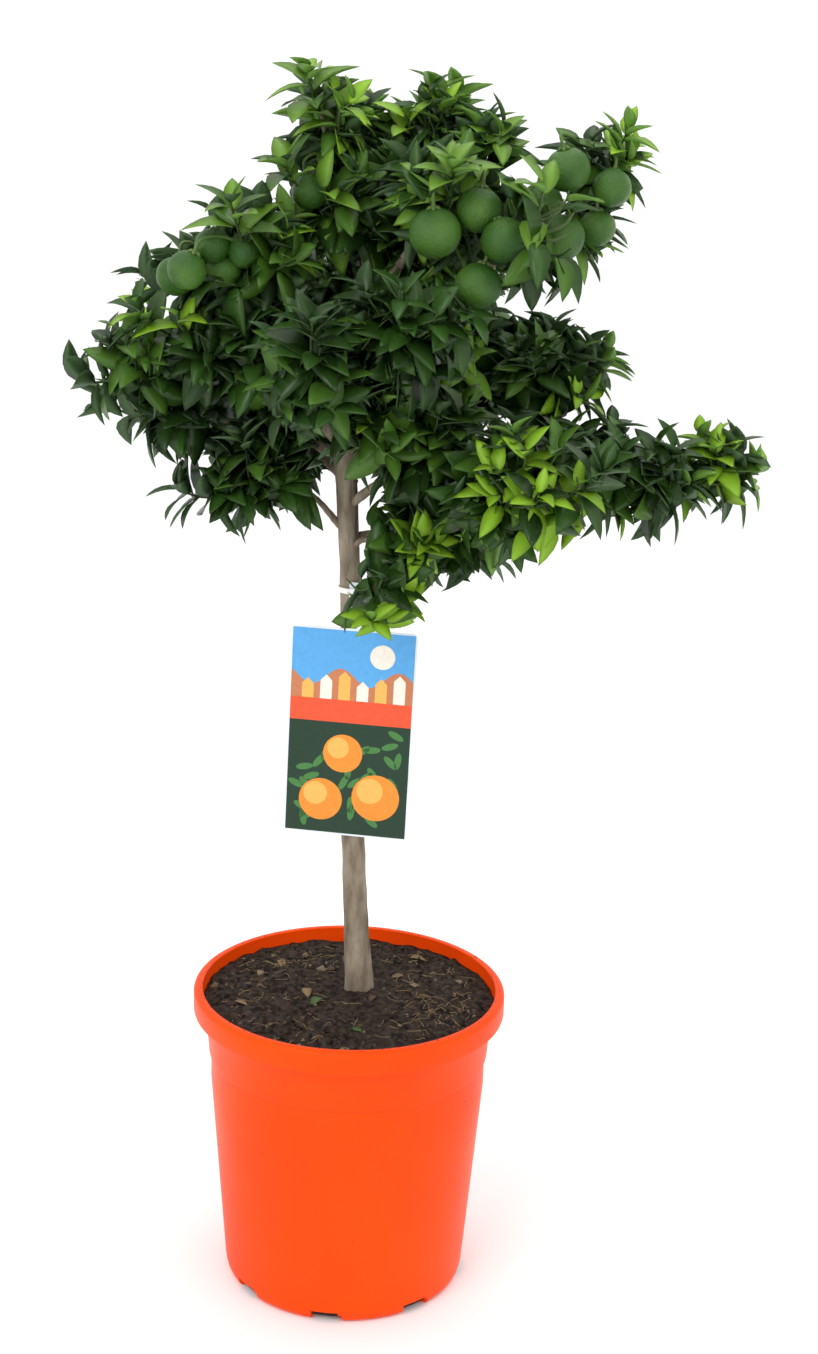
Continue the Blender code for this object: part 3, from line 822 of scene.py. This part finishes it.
@dataclass
class Foliage:
    """The crown: side boughs, twigs and leaves grown on from the limbs by a seeded rule."""

    skeleton: Skeleton
    shoot_share: float = 11.5e-6
    fewest_shoots: int = 7
    mass_fill: float = 0.48
    side_points: int = 12
    side_radius: float = 0.0024
    side_drop: float = 0.0010
    side_wander: float = 0.004
    side_sides: int = 9
    side_relief: float = 0.0002
    side_bare: int = 3
    tip_depth: float = 0.45
    tip_inset: float = 0.008
    tip_nearest: float = 0.35
    strays: tuple[int, ...] = (0, 4)
    stray_left: float = 0.006
    stray_right: float = -0.010
    twig_points: int = 12
    twig_radius: float = 0.0013
    twig_drop: float = 0.0008
    twig_sides: int = 5
    twig_sag: float = 0.12
    twig_bow: float = 0.05
    twig_lift: float = 0.8
    twig_rise: float = 0.010
    turn_chance: float = 0.2
    leaf_gap: float = 0.0006
    leaf_lift: float = 0.12
    face_ahead: float = 0.7
    face_up: float = 0.55
    leaf_length: float = 0.033
    leaf_sizes: Range = (0.82, 1.12)
    tip_leaf_loss: float = 0.38
    young_size: float = 0.9
    leaf_count: int = 8
    first_leaf: float = 0.18
    leafy_share: float = 0.82
    old_leaves: float = 0.25
    lean_base: float = 84.0
    lean_loss: float = 44.0
    lean_chance: float = 14.0
    young_depth: float = 0.6
    young_chance: float = 0.75
    high_up: float = 0.72
    high_gain: float = 0.25
    outer: float = 0.85
    outer_gain: float = 0.2
    fresh_above: float = 1.18
    mid_above: float = 0.85
    deep_above: float = 0.4
    checked: tuple[float, ...] = (0.3, 0.65, 1.0)
    spill_low: Place = (0.021, 0.014, 0.012)
    spill_high: Place = (0.003, 0.014, 0.003)
    window: Range = (0.512, 0.588)
    window_middle: float = -0.009
    window_half: float = 0.013
    window_back: float = 0.004
    label_clear_below: float = 0.487
    label_clear_half: float = 0.05
    fruit_gap: float = 0.003
    fruit_shown: float = 0.86
    twigs: MeshBag = field(default_factory=MeshBag)
    left: MeshBag = field(default_factory=MeshBag)
    right: MeshBag = field(default_factory=MeshBag)
    leaves: int = 0

    def clear_of_fruit(self, spot: Vector) -> bool:
        """Whether a point neither touches a fruit nor hides one from its own side of the tree.

        Args:
            spot: the point.

        Returns:
            True if it is clear of every fruit.
        """
        for fruit in FRUITS:
            centre, radius = fruit.centre(), fruit.radius()
            gap = spot - centre
            if gap.length < radius + self.fruit_gap:
                return False
            ahead = -gap.y if centre.y < 0 else gap.y
            if ahead > 0 and math.hypot(gap.x, gap.z) < radius * self.fruit_shown:
                return False
        return True

    def clear_of_view(self, spots: list[Vector]) -> bool:
        """Whether a leaf stays inside the crown and hides no fruit, bare trunk or label.

        Args:
            spots: a few points of the leaf.

        Returns:
            True if the leaf can stay.
        """
        for spot in spots:
            for k in range(3):
                low, high = CAD_BOX[0][k] - self.spill_low[k], CAD_BOX[1][k] + self.spill_high[k]
                if not low < spot[k] < high:
                    return False
            aside = abs(spot.x - self.window_middle)
            if (self.window[0] < spot.z < self.window[1] and aside < self.window_half
                    and spot.y < self.window_back):
                return False
            if spot.z < self.label_clear_below and abs(spot.x) < self.label_clear_half:
                return False
            if not self.clear_of_fruit(spot):
                return False
        return True

    def add_leaf(self, blade: Blade, kind: Leafage) -> None:
        """Add one leaf to its half of the crown, unless it stands in the way.

        Args:
            blade: the leaf's shape.
            kind: its colour class.
        """
        if self.clear_of_view([blade.midrib(t) for t in self.checked]):
            bag = self.left if blade.base.x < 0 else self.right
            blade.mesh(bag, kind.value, kind.underside())
            self.leaves += 1

    def kind_for(self, tip: Vector, depth: float, rng: random.Random) -> Leafage:
        """Deal a spray its colour class by its place.

        Args:
            tip: where the spray ends.
            depth: how far out in its mass it is, up to one.
            rng: the source of chance.

        Returns:
            The class.
        """
        for spot in YOUNG_SPOTS:
            near = math.hypot(tip.x - spot.x, tip.z - spot.z) < spot.radius
            if near and depth > self.young_depth and rng.random() < self.young_chance:
                return Leafage.LIME
        roll = rng.random() + self.high_gain * (tip.z > self.high_up)
        roll += self.outer_gain * (depth > self.outer)
        if roll > self.fresh_above:
            return Leafage.FRESH
        if roll > self.mid_above:
            return Leafage.MID
        return Leafage.DEEP if roll > self.deep_above else Leafage.DARK

    def add_shoot(self, root: Vector, tip: Vector, out: Vector, depth: float,
                  rng: random.Random) -> None:
        """Grow one twig and its spiral of leaves.

        Args:
            root: where it leaves its side bough.
            tip: where it ends.
            out: the way out of the mass at its tip.
            depth: how far out in its mass it is, up to one.
            rng: the source of chance.
        """
        span = (tip - root).length
        bend = (root + tip) / 2 - UP * self.twig_sag * span + out * self.twig_bow * span
        end = tip + (out + UP * self.twig_lift).normalized() * self.twig_rise
        path = smooth_path([root, bend, tip, end], self.twig_points)
        add_tube(self.twigs, path, tapering(self.twig_radius, self.twig_drop, self.twig_points),
                 self.twig_sides, slot=1)
        kind = self.kind_for(tip, depth, rng)
        young = kind is Leafage.LIME
        count = self.leaf_count + rng.randrange(-1, 3)
        turn = rng.uniform(0, FULL_TURN)
        last = self.twig_points - 1
        for k in range(count):
            t = k / (count - 1)
            s = (self.first_leaf + self.leafy_share * t) * last
            i = min(int(s), last - 1)
            spot = path[i].lerp(path[i + 1], s - i)
            along = (path[i + 1] - path[i]).normalized()
            side = along.orthogonal().normalized()
            other = along.cross(side)
            turn += GOLDEN_ANGLE + rng.uniform(-self.turn_chance, self.turn_chance)
            radial = side * math.cos(turn) + other * math.sin(turn)
            chance = rng.uniform(-self.lean_chance, self.lean_chance)
            lean = math.radians(self.lean_base - self.lean_loss * t + chance)
            way = along * math.cos(lean) + radial * math.sin(lean) + UP * self.leaf_lift
            way.normalize()
            face = along * self.face_ahead + UP * self.face_up
            length = self.leaf_length * rng.uniform(*self.leaf_sizes)
            length *= 1.0 - self.tip_leaf_loss * t * t
            if young:
                length *= self.young_size
            own = Leafage.MID if young and t < self.old_leaves else kind
            base = spot + radial * self.leaf_gap
            self.add_leaf(Blade.draw(base, way, face, length, rng), own)

    def grow_mass(self, name: str, start: Vector) -> Vector:
        """Grow one mass's side bough, twigs and leaves.

        Args:
            name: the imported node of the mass.
            start: where its side bough springs from.

        Returns:
            The mass's centre, where the next side bough springs from.
        """
        rng = random.Random(name)
        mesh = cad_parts[name].data
        low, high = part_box(name)
        volume = math.prod(high[k] - low[k] for k in range(3)) * self.mass_fill
        centre = box_centre(name)
        wander = Vector([rng.uniform(-self.side_wander, self.side_wander) for _ in range(3)])
        line = smooth_path([start, (start + centre) / 2 + wander, centre], self.side_points)
        radii = tapering(self.side_radius, self.side_drop, self.side_points)
        add_tube(self.skeleton.boughs, line, radii, self.side_sides, relief=self.side_relief)
        self.skeleton.nodes.extend(line[self.side_bare:])
        mesh.calc_loop_triangles()
        weights = [tri.area for tri in mesh.loop_triangles]
        shoots = max(self.fewest_shoots, round(volume / self.shoot_share))
        for tri in rng.choices(list(mesh.loop_triangles), weights, k=shoots):
            a, b = sorted((rng.random(), rng.random()))
            corners = [mesh.vertices[i].co for i in tri.vertices]
            skin = corners[0] * a + corners[1] * (b - a) + corners[2] * (1 - b)
            depth = rng.random() ** self.tip_depth
            out = (skin - centre).normalized()
            reach = max(0.0, (skin - centre).length - self.tip_inset)
            tip = centre + out * reach * (self.tip_nearest + (1 - self.tip_nearest) * depth)
            root = line[rng.randrange(self.side_points // 2, self.side_points)]
            self.add_shoot(root, tip, out, depth, rng)
        ahead = (centre - start).normalized()
        skins = sorted((vert.co for vert in mesh.vertices), key=lambda p: -(p - centre).dot(ahead))
        for skin in (skins[i] for i in self.strays):
            out = (skin - centre).normalized()
            reach = self.stray_left if out.x < -0.5 else self.stray_right
            self.add_shoot(line[-1], skin + out * reach, out, 1.0, rng)
        return centre

    def build(self, bark: bpy.types.Material) -> None:
        """Grow every mass, limb by limb, and join what grew.

        Args:
            bark: the boughs' material.
        """
        masses = sorted(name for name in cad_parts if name.startswith("mass_"))
        limbs = sorted({limb_of(name) for name in masses},
                       key=lambda limb: (limb not in self.skeleton.tips, limb))
        for limb in limbs:
            own = [name for name in masses if limb_of(name) == limb]
            first = box_centre(own[0])
            near = min(self.skeleton.nodes, key=lambda p: (p - first).length)
            start = self.skeleton.tips.get(limb, near)
            for name in own:
                start = self.grow_mass(name, start)
        boughs = sorted(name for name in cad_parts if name.startswith("bough_"))
        self.skeleton.boughs.piece("bough_bark", [bark], "bark", boughs)
        self.twigs.piece("twigs", [bark, GREEN_TWIG.build()], "bark")
        made = [look.build() for look in LEAF_FINISHES]
        sides: tuple[list[str], list[str]] = ([], [])
        for name in masses:
            low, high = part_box(name)
            sides[low[0] + high[0] > 0].append(name)
        self.left.piece("leaves_left", made, "foliage", sides[0])
        self.right.piece("leaves_right", made, "foliage", sides[1])
        LOG.info("leaves in all: %d", self.leaves)


@dataclass
class Pot:
    """The tapered plastic pot: rim band, moulded ring, drainage notches at its foot and dirt specks."""

    height: float = 0.218
    rim: float = 0.110
    rim_round: float = 0.0036
    mouth: float = 0.1035
    neck: float = 0.1015
    foot: float = 0.0858
    foot_round: float = 0.006
    lip: float = 0.017
    ring: float = 0.170
    wall: float = 0.0022
    floor: float = 0.003
    sides: int = 192
    notches: int = 8
    notch_height: float = 0.008
    notch_edges: Range = (0.0079, 0.0083)
    notch_start: float = 0.014
    notch_depth: float = 0.0130
    notch_bearing: float = 8.0
    notch_half_angle: float = 7.2
    notch_narrowing: float = 1.9
    rim_specks: int = 120
    wall_specks: int = 70
    speck_sizes: Range = (0.0002, 0.0006)

    def wall_radius(self, z: float) -> float:
        """The radius of the outer wall at a height below the rim band."""
        return self.foot + (self.neck - self.foot) * z / (self.height - self.lip)

    def profile(self) -> list[tuple[float, float]]:
        """The outline from the underside's middle, up the outer wall and down the inner one.

        Returns:
            Radius and height pairs.
        """
        low = self.height - self.lip
        bend = self.foot_round
        points = [(0.0, 0.0), (self.foot - self.notch_start, 0.0), (self.foot - bend, 0.0)]
        for i in range(1, 6):
            a = math.radians(18 * i)
            points.append((self.foot - bend + bend * math.sin(a), bend - bend * math.cos(a)))
        points += [(self.wall_radius(z), z) for z in (*self.notch_edges, 0.03, 0.06, 0.09, 0.12, 0.15)]
        ring = self.wall_radius(self.ring)
        points += [(ring - 0.0017, self.ring - 0.0030), (ring - 0.0015, self.ring - 0.0014),
                   (ring - 0.0003, self.ring - 0.0003), (ring, self.ring + 0.001)]
        points += [(self.neck, low - 0.0010), (self.neck + 0.0006, low),
                   (self.rim - 0.0014, low + 0.0001), (self.rim - 0.0004, low + 0.0006),
                   (self.rim, low + 0.0020)]
        bend = self.rim_round
        for i in range(7):
            a = math.radians(15 * i)
            points.append((self.rim - bend + bend * math.cos(a),
                           self.height - bend + bend * math.sin(a)))
        points += [(self.mouth + 0.0006, self.height), (self.mouth, self.height - 0.0006),
                   (self.mouth, low + 0.004), (self.neck - self.wall, low - 0.004),
                   (self.foot - self.wall, self.floor + 0.004), (0.0, self.floor)]
        return points

    def pressed(self, radius: float, z: float, angle: float) -> bool:
        """Whether a point of the outline lies in a notch.

        Args:
            radius: its radius.
            z: its height.
            angle: its angle round the pot.

        Returns:
            True if it is pressed in.
        """
        if radius <= self.foot - self.notch_start or not 0 <= z < self.notch_height:
            return False
        pitch = 360 / self.notches
        bearing = (math.degrees(angle) + 90 + self.notch_bearing) % pitch
        half = self.notch_half_angle - self.notch_narrowing * z / self.notch_height
        return min(bearing, pitch - bearing) < half

    def build(self) -> None:
        """Turn the outline, press in the notches and add the specks of dirt."""
        outline = self.profile()
        verts, faces = [Vector((0, 0, 0))], []
        inner = outline[1:-1]
        count = self.sides
        for r, z in inner:
            for k in range(count):
                a = FULL_TURN * k / count
                reach = self.foot - self.notch_depth if self.pressed(r, z, a) else r
                verts.append(Vector((reach * math.cos(a), reach * math.sin(a), z)))
        verts.append(Vector((0, 0, outline[-1][1])))
        last = 1 + (len(inner) - 1) * count
        for k in range(count):
            n = (k + 1) % count
            faces.append((0, 1 + n, 1 + k))
            for a in range(1, last, count):
                b = a + count
                faces.append((a + k, a + n, b + n, b + k))
            faces.append((last + k, last + n, len(verts) - 1))
        bag = MeshBag()
        bag.add(verts, faces)
        shell = bag.piece("pot_shell", [POT_PLASTIC.build()], "pot_plastic", ["pot"])
        shell.data.set_sharp_from_angle(angle=math.radians(40))
        self.build_specks()

    def build_specks(self) -> None:
        """Stick small crumbs of dirt to the rim and the wall."""
        rng = random.Random("specks")
        bag = MeshBag()
        ways = ((1, 0, 0), (-1, 0, 0), (0, 1, 0), (0, -1, 0), (0, 0, 0.6), (0, 0, -0.6))
        for k in range(self.rim_specks + self.wall_specks):
            a = rng.uniform(0, FULL_TURN)
            size = rng.uniform(*self.speck_sizes)
            if k < self.rim_specks:
                z = self.height
                r = rng.uniform(self.mouth + 0.0005, self.rim - 0.003)
            else:
                z = rng.uniform(0.02, self.height - self.lip)
                r = self.wall_radius(z)
            spot = Vector((r * math.cos(a), r * math.sin(a), z))
            verts = [spot + Vector(way) * size * rng.uniform(0.6, 1.5) for way in ways]
            bag.add(verts, LUMP_FACES)
        bag.piece("pot_dirt", [DIRT.build()], "potting_soil", smooth=False)


@dataclass
class Soil:
    """The potting soil: a lumpy surface with crumbs, fibres and fallen bits."""

    mouth: float = 0.1028
    shoulder: float = 0.0045
    shoulder_height: float = 0.196
    deep: float = 0.0830
    floor: float = 0.0040
    edge: float = 0.2085
    heap: float = 0.2125
    trunk_clear: float = 0.013
    rings: int = 60
    sides: int = 150
    lumps: tuple[Range, ...] = ((45, 0.0026), (130, 0.0019), (380, 0.0011))
    crumbs: int = 1500
    crumb_margin: float = 0.006
    crumb_sizes: Range = (0.0006, 0.0022)
    crumb_shape: tuple[Range, ...] = ((0.7, 1.6), (0.6, 1.2), (0.4, 0.9))
    crumb_chips: Range = (0.8, 1.2)
    big_size: float = 2.0
    big_share: float = 0.08
    shares: tuple[int, ...] = (70, 24, 6)
    fibres: int = 150
    nest_fibres: int = 34
    nest: Range = (0.062, -0.020)
    nest_half: Range = (0.018, 0.022)
    fibre_margin: float = 0.016
    fibre_edge: float = 0.004
    fibre_lengths: Range = (0.004, 0.013)
    fibre_rises: Range = (0.0003, 0.0016)
    fibre_radius: float = 0.00022
    fallen_lengths: Range = (0.011, 0.016)
    fallen_rise: float = 0.0016
    fallen: tuple[Range, ...] = (
        (-0.003, -0.093), (-0.075, -0.020), (-0.022, -0.018), (-0.030, -0.004),
        (0.034, 0.030), (0.004, -0.060), (-0.05, 0.05), (0.05, 0.062))

    def height(self, x: float, y: float) -> float:
        """The soil's height at a place.

        Args:
            x: the place, sideways.
            y: the place, from front to back.

        Returns:
            The height.
        """
        share = min(1.0, math.hypot(x, y) / self.mouth)
        rough = sum(noise.noise(Vector((x, y, 0.0)) * scale) * rise for scale, rise in self.lumps)
        return self.heap + (self.edge - self.heap) * share ** 2 + rough

    def build(self) -> None:
        """Build the soil's body, its crumbs, its fibres and its litter."""
        rng = random.Random("soil")
        bag = MeshBag()
        angles = [FULL_TURN * k / self.sides for k in range(self.sides)]
        verts = [Vector((0, 0, self.height(0, 0)))]
        for i in range(1, self.rings + 1):
            r = self.mouth * i / self.rings
            for x, y in ((r * math.cos(a), r * math.sin(a)) for a in angles):
                verts.append(Vector((x, y, self.height(x, y))))
        for r, z in ((self.mouth - self.shoulder, self.shoulder_height), (self.deep, self.floor)):
            verts += [Vector((r * math.cos(a), r * math.sin(a), z)) for a in angles]
        faces: list[Face] = [(0, 1 + k, 1 + (k + 1) % self.sides) for k in range(self.sides)]
        faces += ring_faces(self.rings + 2, self.sides, first=1, flip=True)
        last = 1 + (self.rings + 1) * self.sides
        faces.append(tuple(last + k for k in reversed(range(self.sides))))
        bag.add(verts, faces)
        bag.piece("soil_surface", [EARTH.build()], "potting_soil", ["potting_soil"])
        self.build_crumbs(rng)
        self.build_fibres(rng)
        self.build_litter(rng)

    def place(self, rng: random.Random, margin: float) -> Vector:
        """Pick a random spot on the soil, clear of the trunk.

        Args:
            rng: the source of chance.
            margin: how far it keeps from the pot's wall.

        Returns:
            The spot.
        """
        a = rng.uniform(0, FULL_TURN)
        r = self.trunk_clear + (self.mouth - margin - self.trunk_clear) * math.sqrt(rng.random())
        x, y = r * math.cos(a), r * math.sin(a)
        return Vector((x, y, self.height(x, y)))

    def build_crumbs(self, rng: random.Random) -> None:
        """Strew lumps of bark and earth over the surface.

        Args:
            rng: the source of chance.
        """
        bag = MeshBag()
        for _ in range(self.crumbs):
            size = rng.uniform(*self.crumb_sizes)
            size *= self.big_size if rng.random() < self.big_share else 1.0
            spot = self.place(rng, self.crumb_margin)
            turn = Matrix.Rotation(rng.uniform(0, ANY_TURN), 3, "Z")
            turn = turn @ Matrix.Rotation(rng.uniform(0, ANY_TURN), 3, "X")
            flat = [rng.uniform(*span) for span in self.crumb_shape]
            verts = []
            for i in range(3):
                for sign in (1, -1):
                    corner = Vector([0.0, 0.0, 0.0])
                    corner[i] = sign * size * flat[i] * rng.uniform(*self.crumb_chips)
                    verts.append(spot + turn @ corner)
            bag.add(verts, LUMP_FACES, rng.choices((0, 1, 2), self.shares)[0])
        made = [finish.build() for finish in (EARTH, BARK_BIT, PALE_BIT)]
        bag.piece("soil_crumbs", made, "potting_soil", smooth=False)

    def build_fibres(self, rng: random.Random) -> None:
        """Lay thin fibres and pale roots on the soil, the first of them in one nest.

        Args:
            rng: the source of chance.
        """
        bag = MeshBag()
        for k in range(self.fibres):
            start = self.place(rng, self.fibre_margin)
            if k < self.nest_fibres:
                start = Vector([mid + rng.uniform(-half, half)
                                for mid, half in zip(self.nest, self.nest_half)] + [0.0])
            a, long = rng.uniform(0, ANY_TURN), rng.uniform(*self.fibre_lengths)
            points = []
            for _ in range(4):
                a += rng.uniform(-0.5, 0.5)
                start = start + Vector((math.cos(a), math.sin(a), 0)) * long / 3
                if math.hypot(start.x, start.y) > self.mouth - self.fibre_edge:
                    break
                rise = self.height(start.x, start.y) + rng.uniform(*self.fibre_rises)
                points.append(Vector((start.x, start.y, rise)))
            if len(points) == 4:
                add_tube(bag, smooth_path(points, 8), [self.fibre_radius] * 8, 4)
        bag.piece("soil_fibres", [STRAW.build()], "potting_soil")

    def build_litter(self, rng: random.Random) -> None:
        """Lay a few fallen leaves on the soil, every third of them still green.

        Args:
            rng: the source of chance.
        """
        bag = MeshBag()
        for k, (x, y) in enumerate(self.fallen):
            spot = Vector((x, y, self.height(x, y) + self.fallen_rise))
            a = rng.uniform(0, ANY_TURN)
            way = Vector((math.cos(a), math.sin(a) * 0.8, 0.10)).normalized()
            length = rng.uniform(*self.fallen_lengths)
            slot = 1 if k % 3 == 2 else 0
            Blade.draw(spot - way * 0.006, way, UP, length, rng).mesh(bag, slot, slot)
        bag.piece("soil_litter", [finish.build() for finish in FALLEN_FINISHES], "potting_soil")


class Ink(Enum):
    """The label's flat printed colours, by material number."""

    SKY = 0
    CLAY = 1
    CREAM = 2
    RED = 3
    GREEN = 4
    ORANGE = 5
    LEAF = 6
    GOLD = 7


INK_TONES = {
    Ink.SKY: (0.10, 0.38, 0.75), Ink.CLAY: (0.55, 0.20, 0.09), Ink.CREAM: (0.85, 0.80, 0.70),
    Ink.RED: (0.80, 0.09, 0.03), Ink.GREEN: (0.012, 0.040, 0.020), Ink.ORANGE: (0.85, 0.27, 0.03),
    Ink.LEAF: (0.06, 0.20, 0.05), Ink.GOLD: (0.90, 0.45, 0.10),
}


@dataclass
class Label:
    """The hang label: a plain card with a generic printed scene in flat colours."""

    width: float = 0.086
    height: float = 0.147
    margin: float = 0.0013
    top: float = 0.479
    middle_x: float = -0.0015
    yaw: float = 8.0
    roll: float = 1.6
    ink_low: float = 0.00042
    ink_high: float = 0.00050
    ink_layer: float = 0.00004
    hills_foot: float = -0.050
    stripe_foot: float = -0.066
    sun: Place = (0.020, -0.018, 0.0085)
    houses: int = 6
    leaves: int = 34
    leaf_long: float = 0.006
    leaf_wide: float = 0.0024
    fruits: tuple[Place, ...] = ((-0.018, -0.122, 0.0150), (0.020, -0.118, 0.0165),
                                 (-0.004, -0.088, 0.0135))
    placing: Matrix = field(default_factory=Matrix)
    bag: MeshBag = field(default_factory=MeshBag)

    def card_frame(self) -> Matrix:
        """Card coordinates to world, with the card's top edge at the origin.

        Returns:
            The placing matrix.
        """
        mean = middle(node_points("label_card"))
        yaw = Matrix.Rotation(math.radians(self.yaw), 4, "Z").inverted()
        normal = yaw @ Vector((0, -1, 0))
        spot = Vector((self.middle_x, mean.y, self.top))
        spot.y = mean.y - (spot.x - mean.x) * normal.x / normal.y
        stand = Matrix.Rotation(math.radians(90), 4, "X")
        roll = Matrix.Rotation(math.radians(-self.roll), 4, "Z")
        return Matrix.Translation(spot) @ yaw @ stand @ roll

    def patch(self, outline: list[tuple[float, float]], layer: int, ink: Ink) -> None:
        """Lay one thin printed shape on the card's face.

        Args:
            outline: its corners in card coordinates, anticlockwise.
            layer: its place in the stack of shapes.
            ink: its colour.
        """
        levels = (self.ink_low, self.ink_high + self.ink_layer * layer)
        n = len(outline)
        verts = [self.placing @ Vector((x, y, z)) for z in levels for x, y in outline]
        faces: list[Face] = [tuple(reversed(range(n))), tuple(range(n, 2 * n))]
        faces += [(i, (i + 1) % n, n + (i + 1) % n, n + i) for i in range(n)]
        self.bag.add(verts, faces, ink.value)

    def disc(self, x: float, y: float, radius: float, layer: int, ink: Ink) -> None:
        """Lay one round printed shape."""
        angles = [FULL_TURN * i / 36 for i in range(36)]
        self.patch([(x + radius * math.cos(a), y + radius * math.sin(a)) for a in angles], layer, ink)

    def band(self, low: float, high: float, ink: Ink) -> None:
        """Lay one band across the card."""
        w = self.width / 2 - self.margin
        self.patch([(-w, low), (w, low), (w, high), (-w, high)], 0, ink)

    def print_town(self) -> None:
        """Print the upper part: sky, sun, hills and a row of gabled houses."""
        w, foot = self.width / 2 - self.margin, self.hills_foot
        self.band(foot, -self.margin, Ink.SKY)
        self.disc(*self.sun, 1, Ink.CREAM)
        hills = [(-w, foot), (w, foot)]
        hills += [(w - 2 * w * i / 24, -0.034 + 0.006 * math.sin(i * 0.55)) for i in range(25)]
        self.patch(hills, 1, Ink.CLAY)
        for k in range(self.houses):
            x = -0.034 + 0.0125 * k
            tall = 0.010 + 0.003 * (k % 3)
            self.patch([(x, foot), (x + 0.008, foot), (x + 0.008, foot + tall),
                        (x + 0.004, -0.046 + tall), (x, foot + tall)], 2,
                       Ink.CREAM if k % 2 else Ink.GOLD)

    def print_fruit(self) -> None:
        """Print the lower part: scattered leaves and three oranges on dark green."""
        self.band(-self.height + self.margin, self.stripe_foot, Ink.GREEN)
        rng = random.Random("print")
        for _ in range(self.leaves):
            x, y = rng.uniform(-0.036, 0.036), rng.uniform(-0.138, -0.072)
            a = rng.uniform(0, ANY_TURN)
            leaf = [(x + self.leaf_long * math.cos(t) * math.cos(a)
                     - self.leaf_wide * math.sin(t) * math.sin(a),
                     y + self.leaf_long * math.cos(t) * math.sin(a)
                     + self.leaf_wide * math.sin(t) * math.cos(a))
                    for t in (FULL_TURN * i / 12 for i in range(12))]
            self.patch(leaf, 1, Ink.LEAF)
        for x, y, radius in self.fruits:
            self.disc(x, y, radius, 2, Ink.ORANGE)
            self.disc(x - radius * 0.25, y + radius * 0.28, radius * 0.55, 3, Ink.GOLD)

    def build(self) -> None:
        """Print the card's two halves with a red stripe between them."""
        self.placing = self.card_frame()
        self.print_town()
        self.band(self.stripe_foot, self.hills_foot, Ink.RED)
        self.print_fruit()
        made = [Finish(f"ink_{ink.name.lower()}", tuple(c * 0.88 for c in tone), tone, 0.35,
                       scale=300.0, relief=0.03).build() for ink, tone in INK_TONES.items()]
        self.bag.piece("label_print", made, "label_card", smooth=False)


@dataclass(frozen=True)
class Lamp:
    """One soft square lamp that faces the crown."""

    name: str
    spot: Place
    size: float
    power: float
    aim: Place = (0.0, 0.0, 0.45)

    def hang(self) -> None:
        """Add the lamp to the scene."""
        data = bpy.data.lights.new(self.name, "AREA")
        data.size = self.size
        data.energy = self.power
        lamp = bpy.data.objects.new(self.name, data)
        lamp.location = self.spot
        aim = Vector(self.aim) - Vector(self.spot)
        lamp.rotation_euler = aim.to_track_quat("-Z", "Y").to_euler()
        bpy.context.scene.collection.objects.link(lamp)


@dataclass
class Studio:
    """Pale floor, soft lamps, white surroundings and the camera."""

    lens: float = 52.86
    sensor: float = 36.0
    pitch: float = 15.527
    roll: float = 1.2575
    shift: float = 53.0 / 1354.0
    floor_half: float = 12.0
    glow: float = 1.06
    lamps: tuple[Lamp, ...] = (Lamp("key", (-1.3, -1.9, 2.2), 1.6, 26.0),
                               Lamp("fill", (1.8, -1.6, 1.3), 1.8, 8.0),
                               Lamp("top", (0.1, 0.4, 2.6), 2.0, 16.0))

    def lay_floor(self) -> None:
        """Lay the pale floor, which isn't part of the tree."""
        wide = self.floor_half
        mesh = bpy.data.meshes.new("floor")
        mesh.from_pydata([(-wide, -wide, 0), (wide, -wide, 0), (wide, wide, 0), (-wide, wide, 0)],
                         [], [(0, 1, 2, 3)])
        mesh.materials.append(STUDIO_FLOOR.build())
        floor = bpy.data.objects.new("floor", mesh)
        bpy.context.scene.collection.objects.link(floor)

    def set_camera(self) -> None:
        """Stand the camera at the photograph's viewing angle."""
        data = bpy.data.cameras.new("camera")
        data.lens = self.lens
        data.sensor_width = self.sensor
        data.shift_x = self.shift
        camera = bpy.data.objects.new("camera", data)
        turn = Matrix.Rotation(math.radians(90 - self.pitch), 4, "X")
        turn = turn @ Matrix.Rotation(math.radians(self.roll), 4, "Z")
        camera.matrix_world = Matrix.Translation(EYE) @ turn
        bpy.context.scene.collection.objects.link(camera)
        bpy.context.scene.camera = camera

    def build(self) -> None:
        """Set the floor, the lamps, the surroundings and the camera."""
        self.lay_floor()
        for lamp in self.lamps:
            lamp.hang()
        world = bpy.data.worlds.new("surroundings")
        world.use_nodes = True
        back = world.node_tree.nodes["Background"]
        back.inputs["Color"].default_value = (1.0, 1.0, 1.0, 1.0)
        back.inputs["Strength"].default_value = self.glow
        bpy.context.scene.world = world
        self.set_camera()
        bpy.context.scene.view_settings.view_transform = "Standard"


def dress_node(name: str, finish: Finish) -> None:
    """Give a carried node its finish.

    Args:
        name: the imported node.
        finish: what it is made of.
    """
    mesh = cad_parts[name].data
    mesh.materials.clear()
    mesh.materials.append(finish.build())
    LOG.info("%s dressed", name)


def main() -> None:
    """Build every piece in order."""
    logging.basicConfig(level=logging.INFO, format="%(message)s")
    bark = TREE_BARK.build()
    Pot().build()
    dress_node("label_card", CARD_PLASTIC)
    dress_node("label_loop", TIE_PLASTIC)
    skeleton = Skeleton()
    skeleton.build_trunk(bark)
    skeleton.build_boughs()
    Foliage(skeleton).build(bark)
    Fruits().build(skeleton)
    Soil().build()
    Label().build()
    Studio().build()


if __name__ == "__main__":
    main()
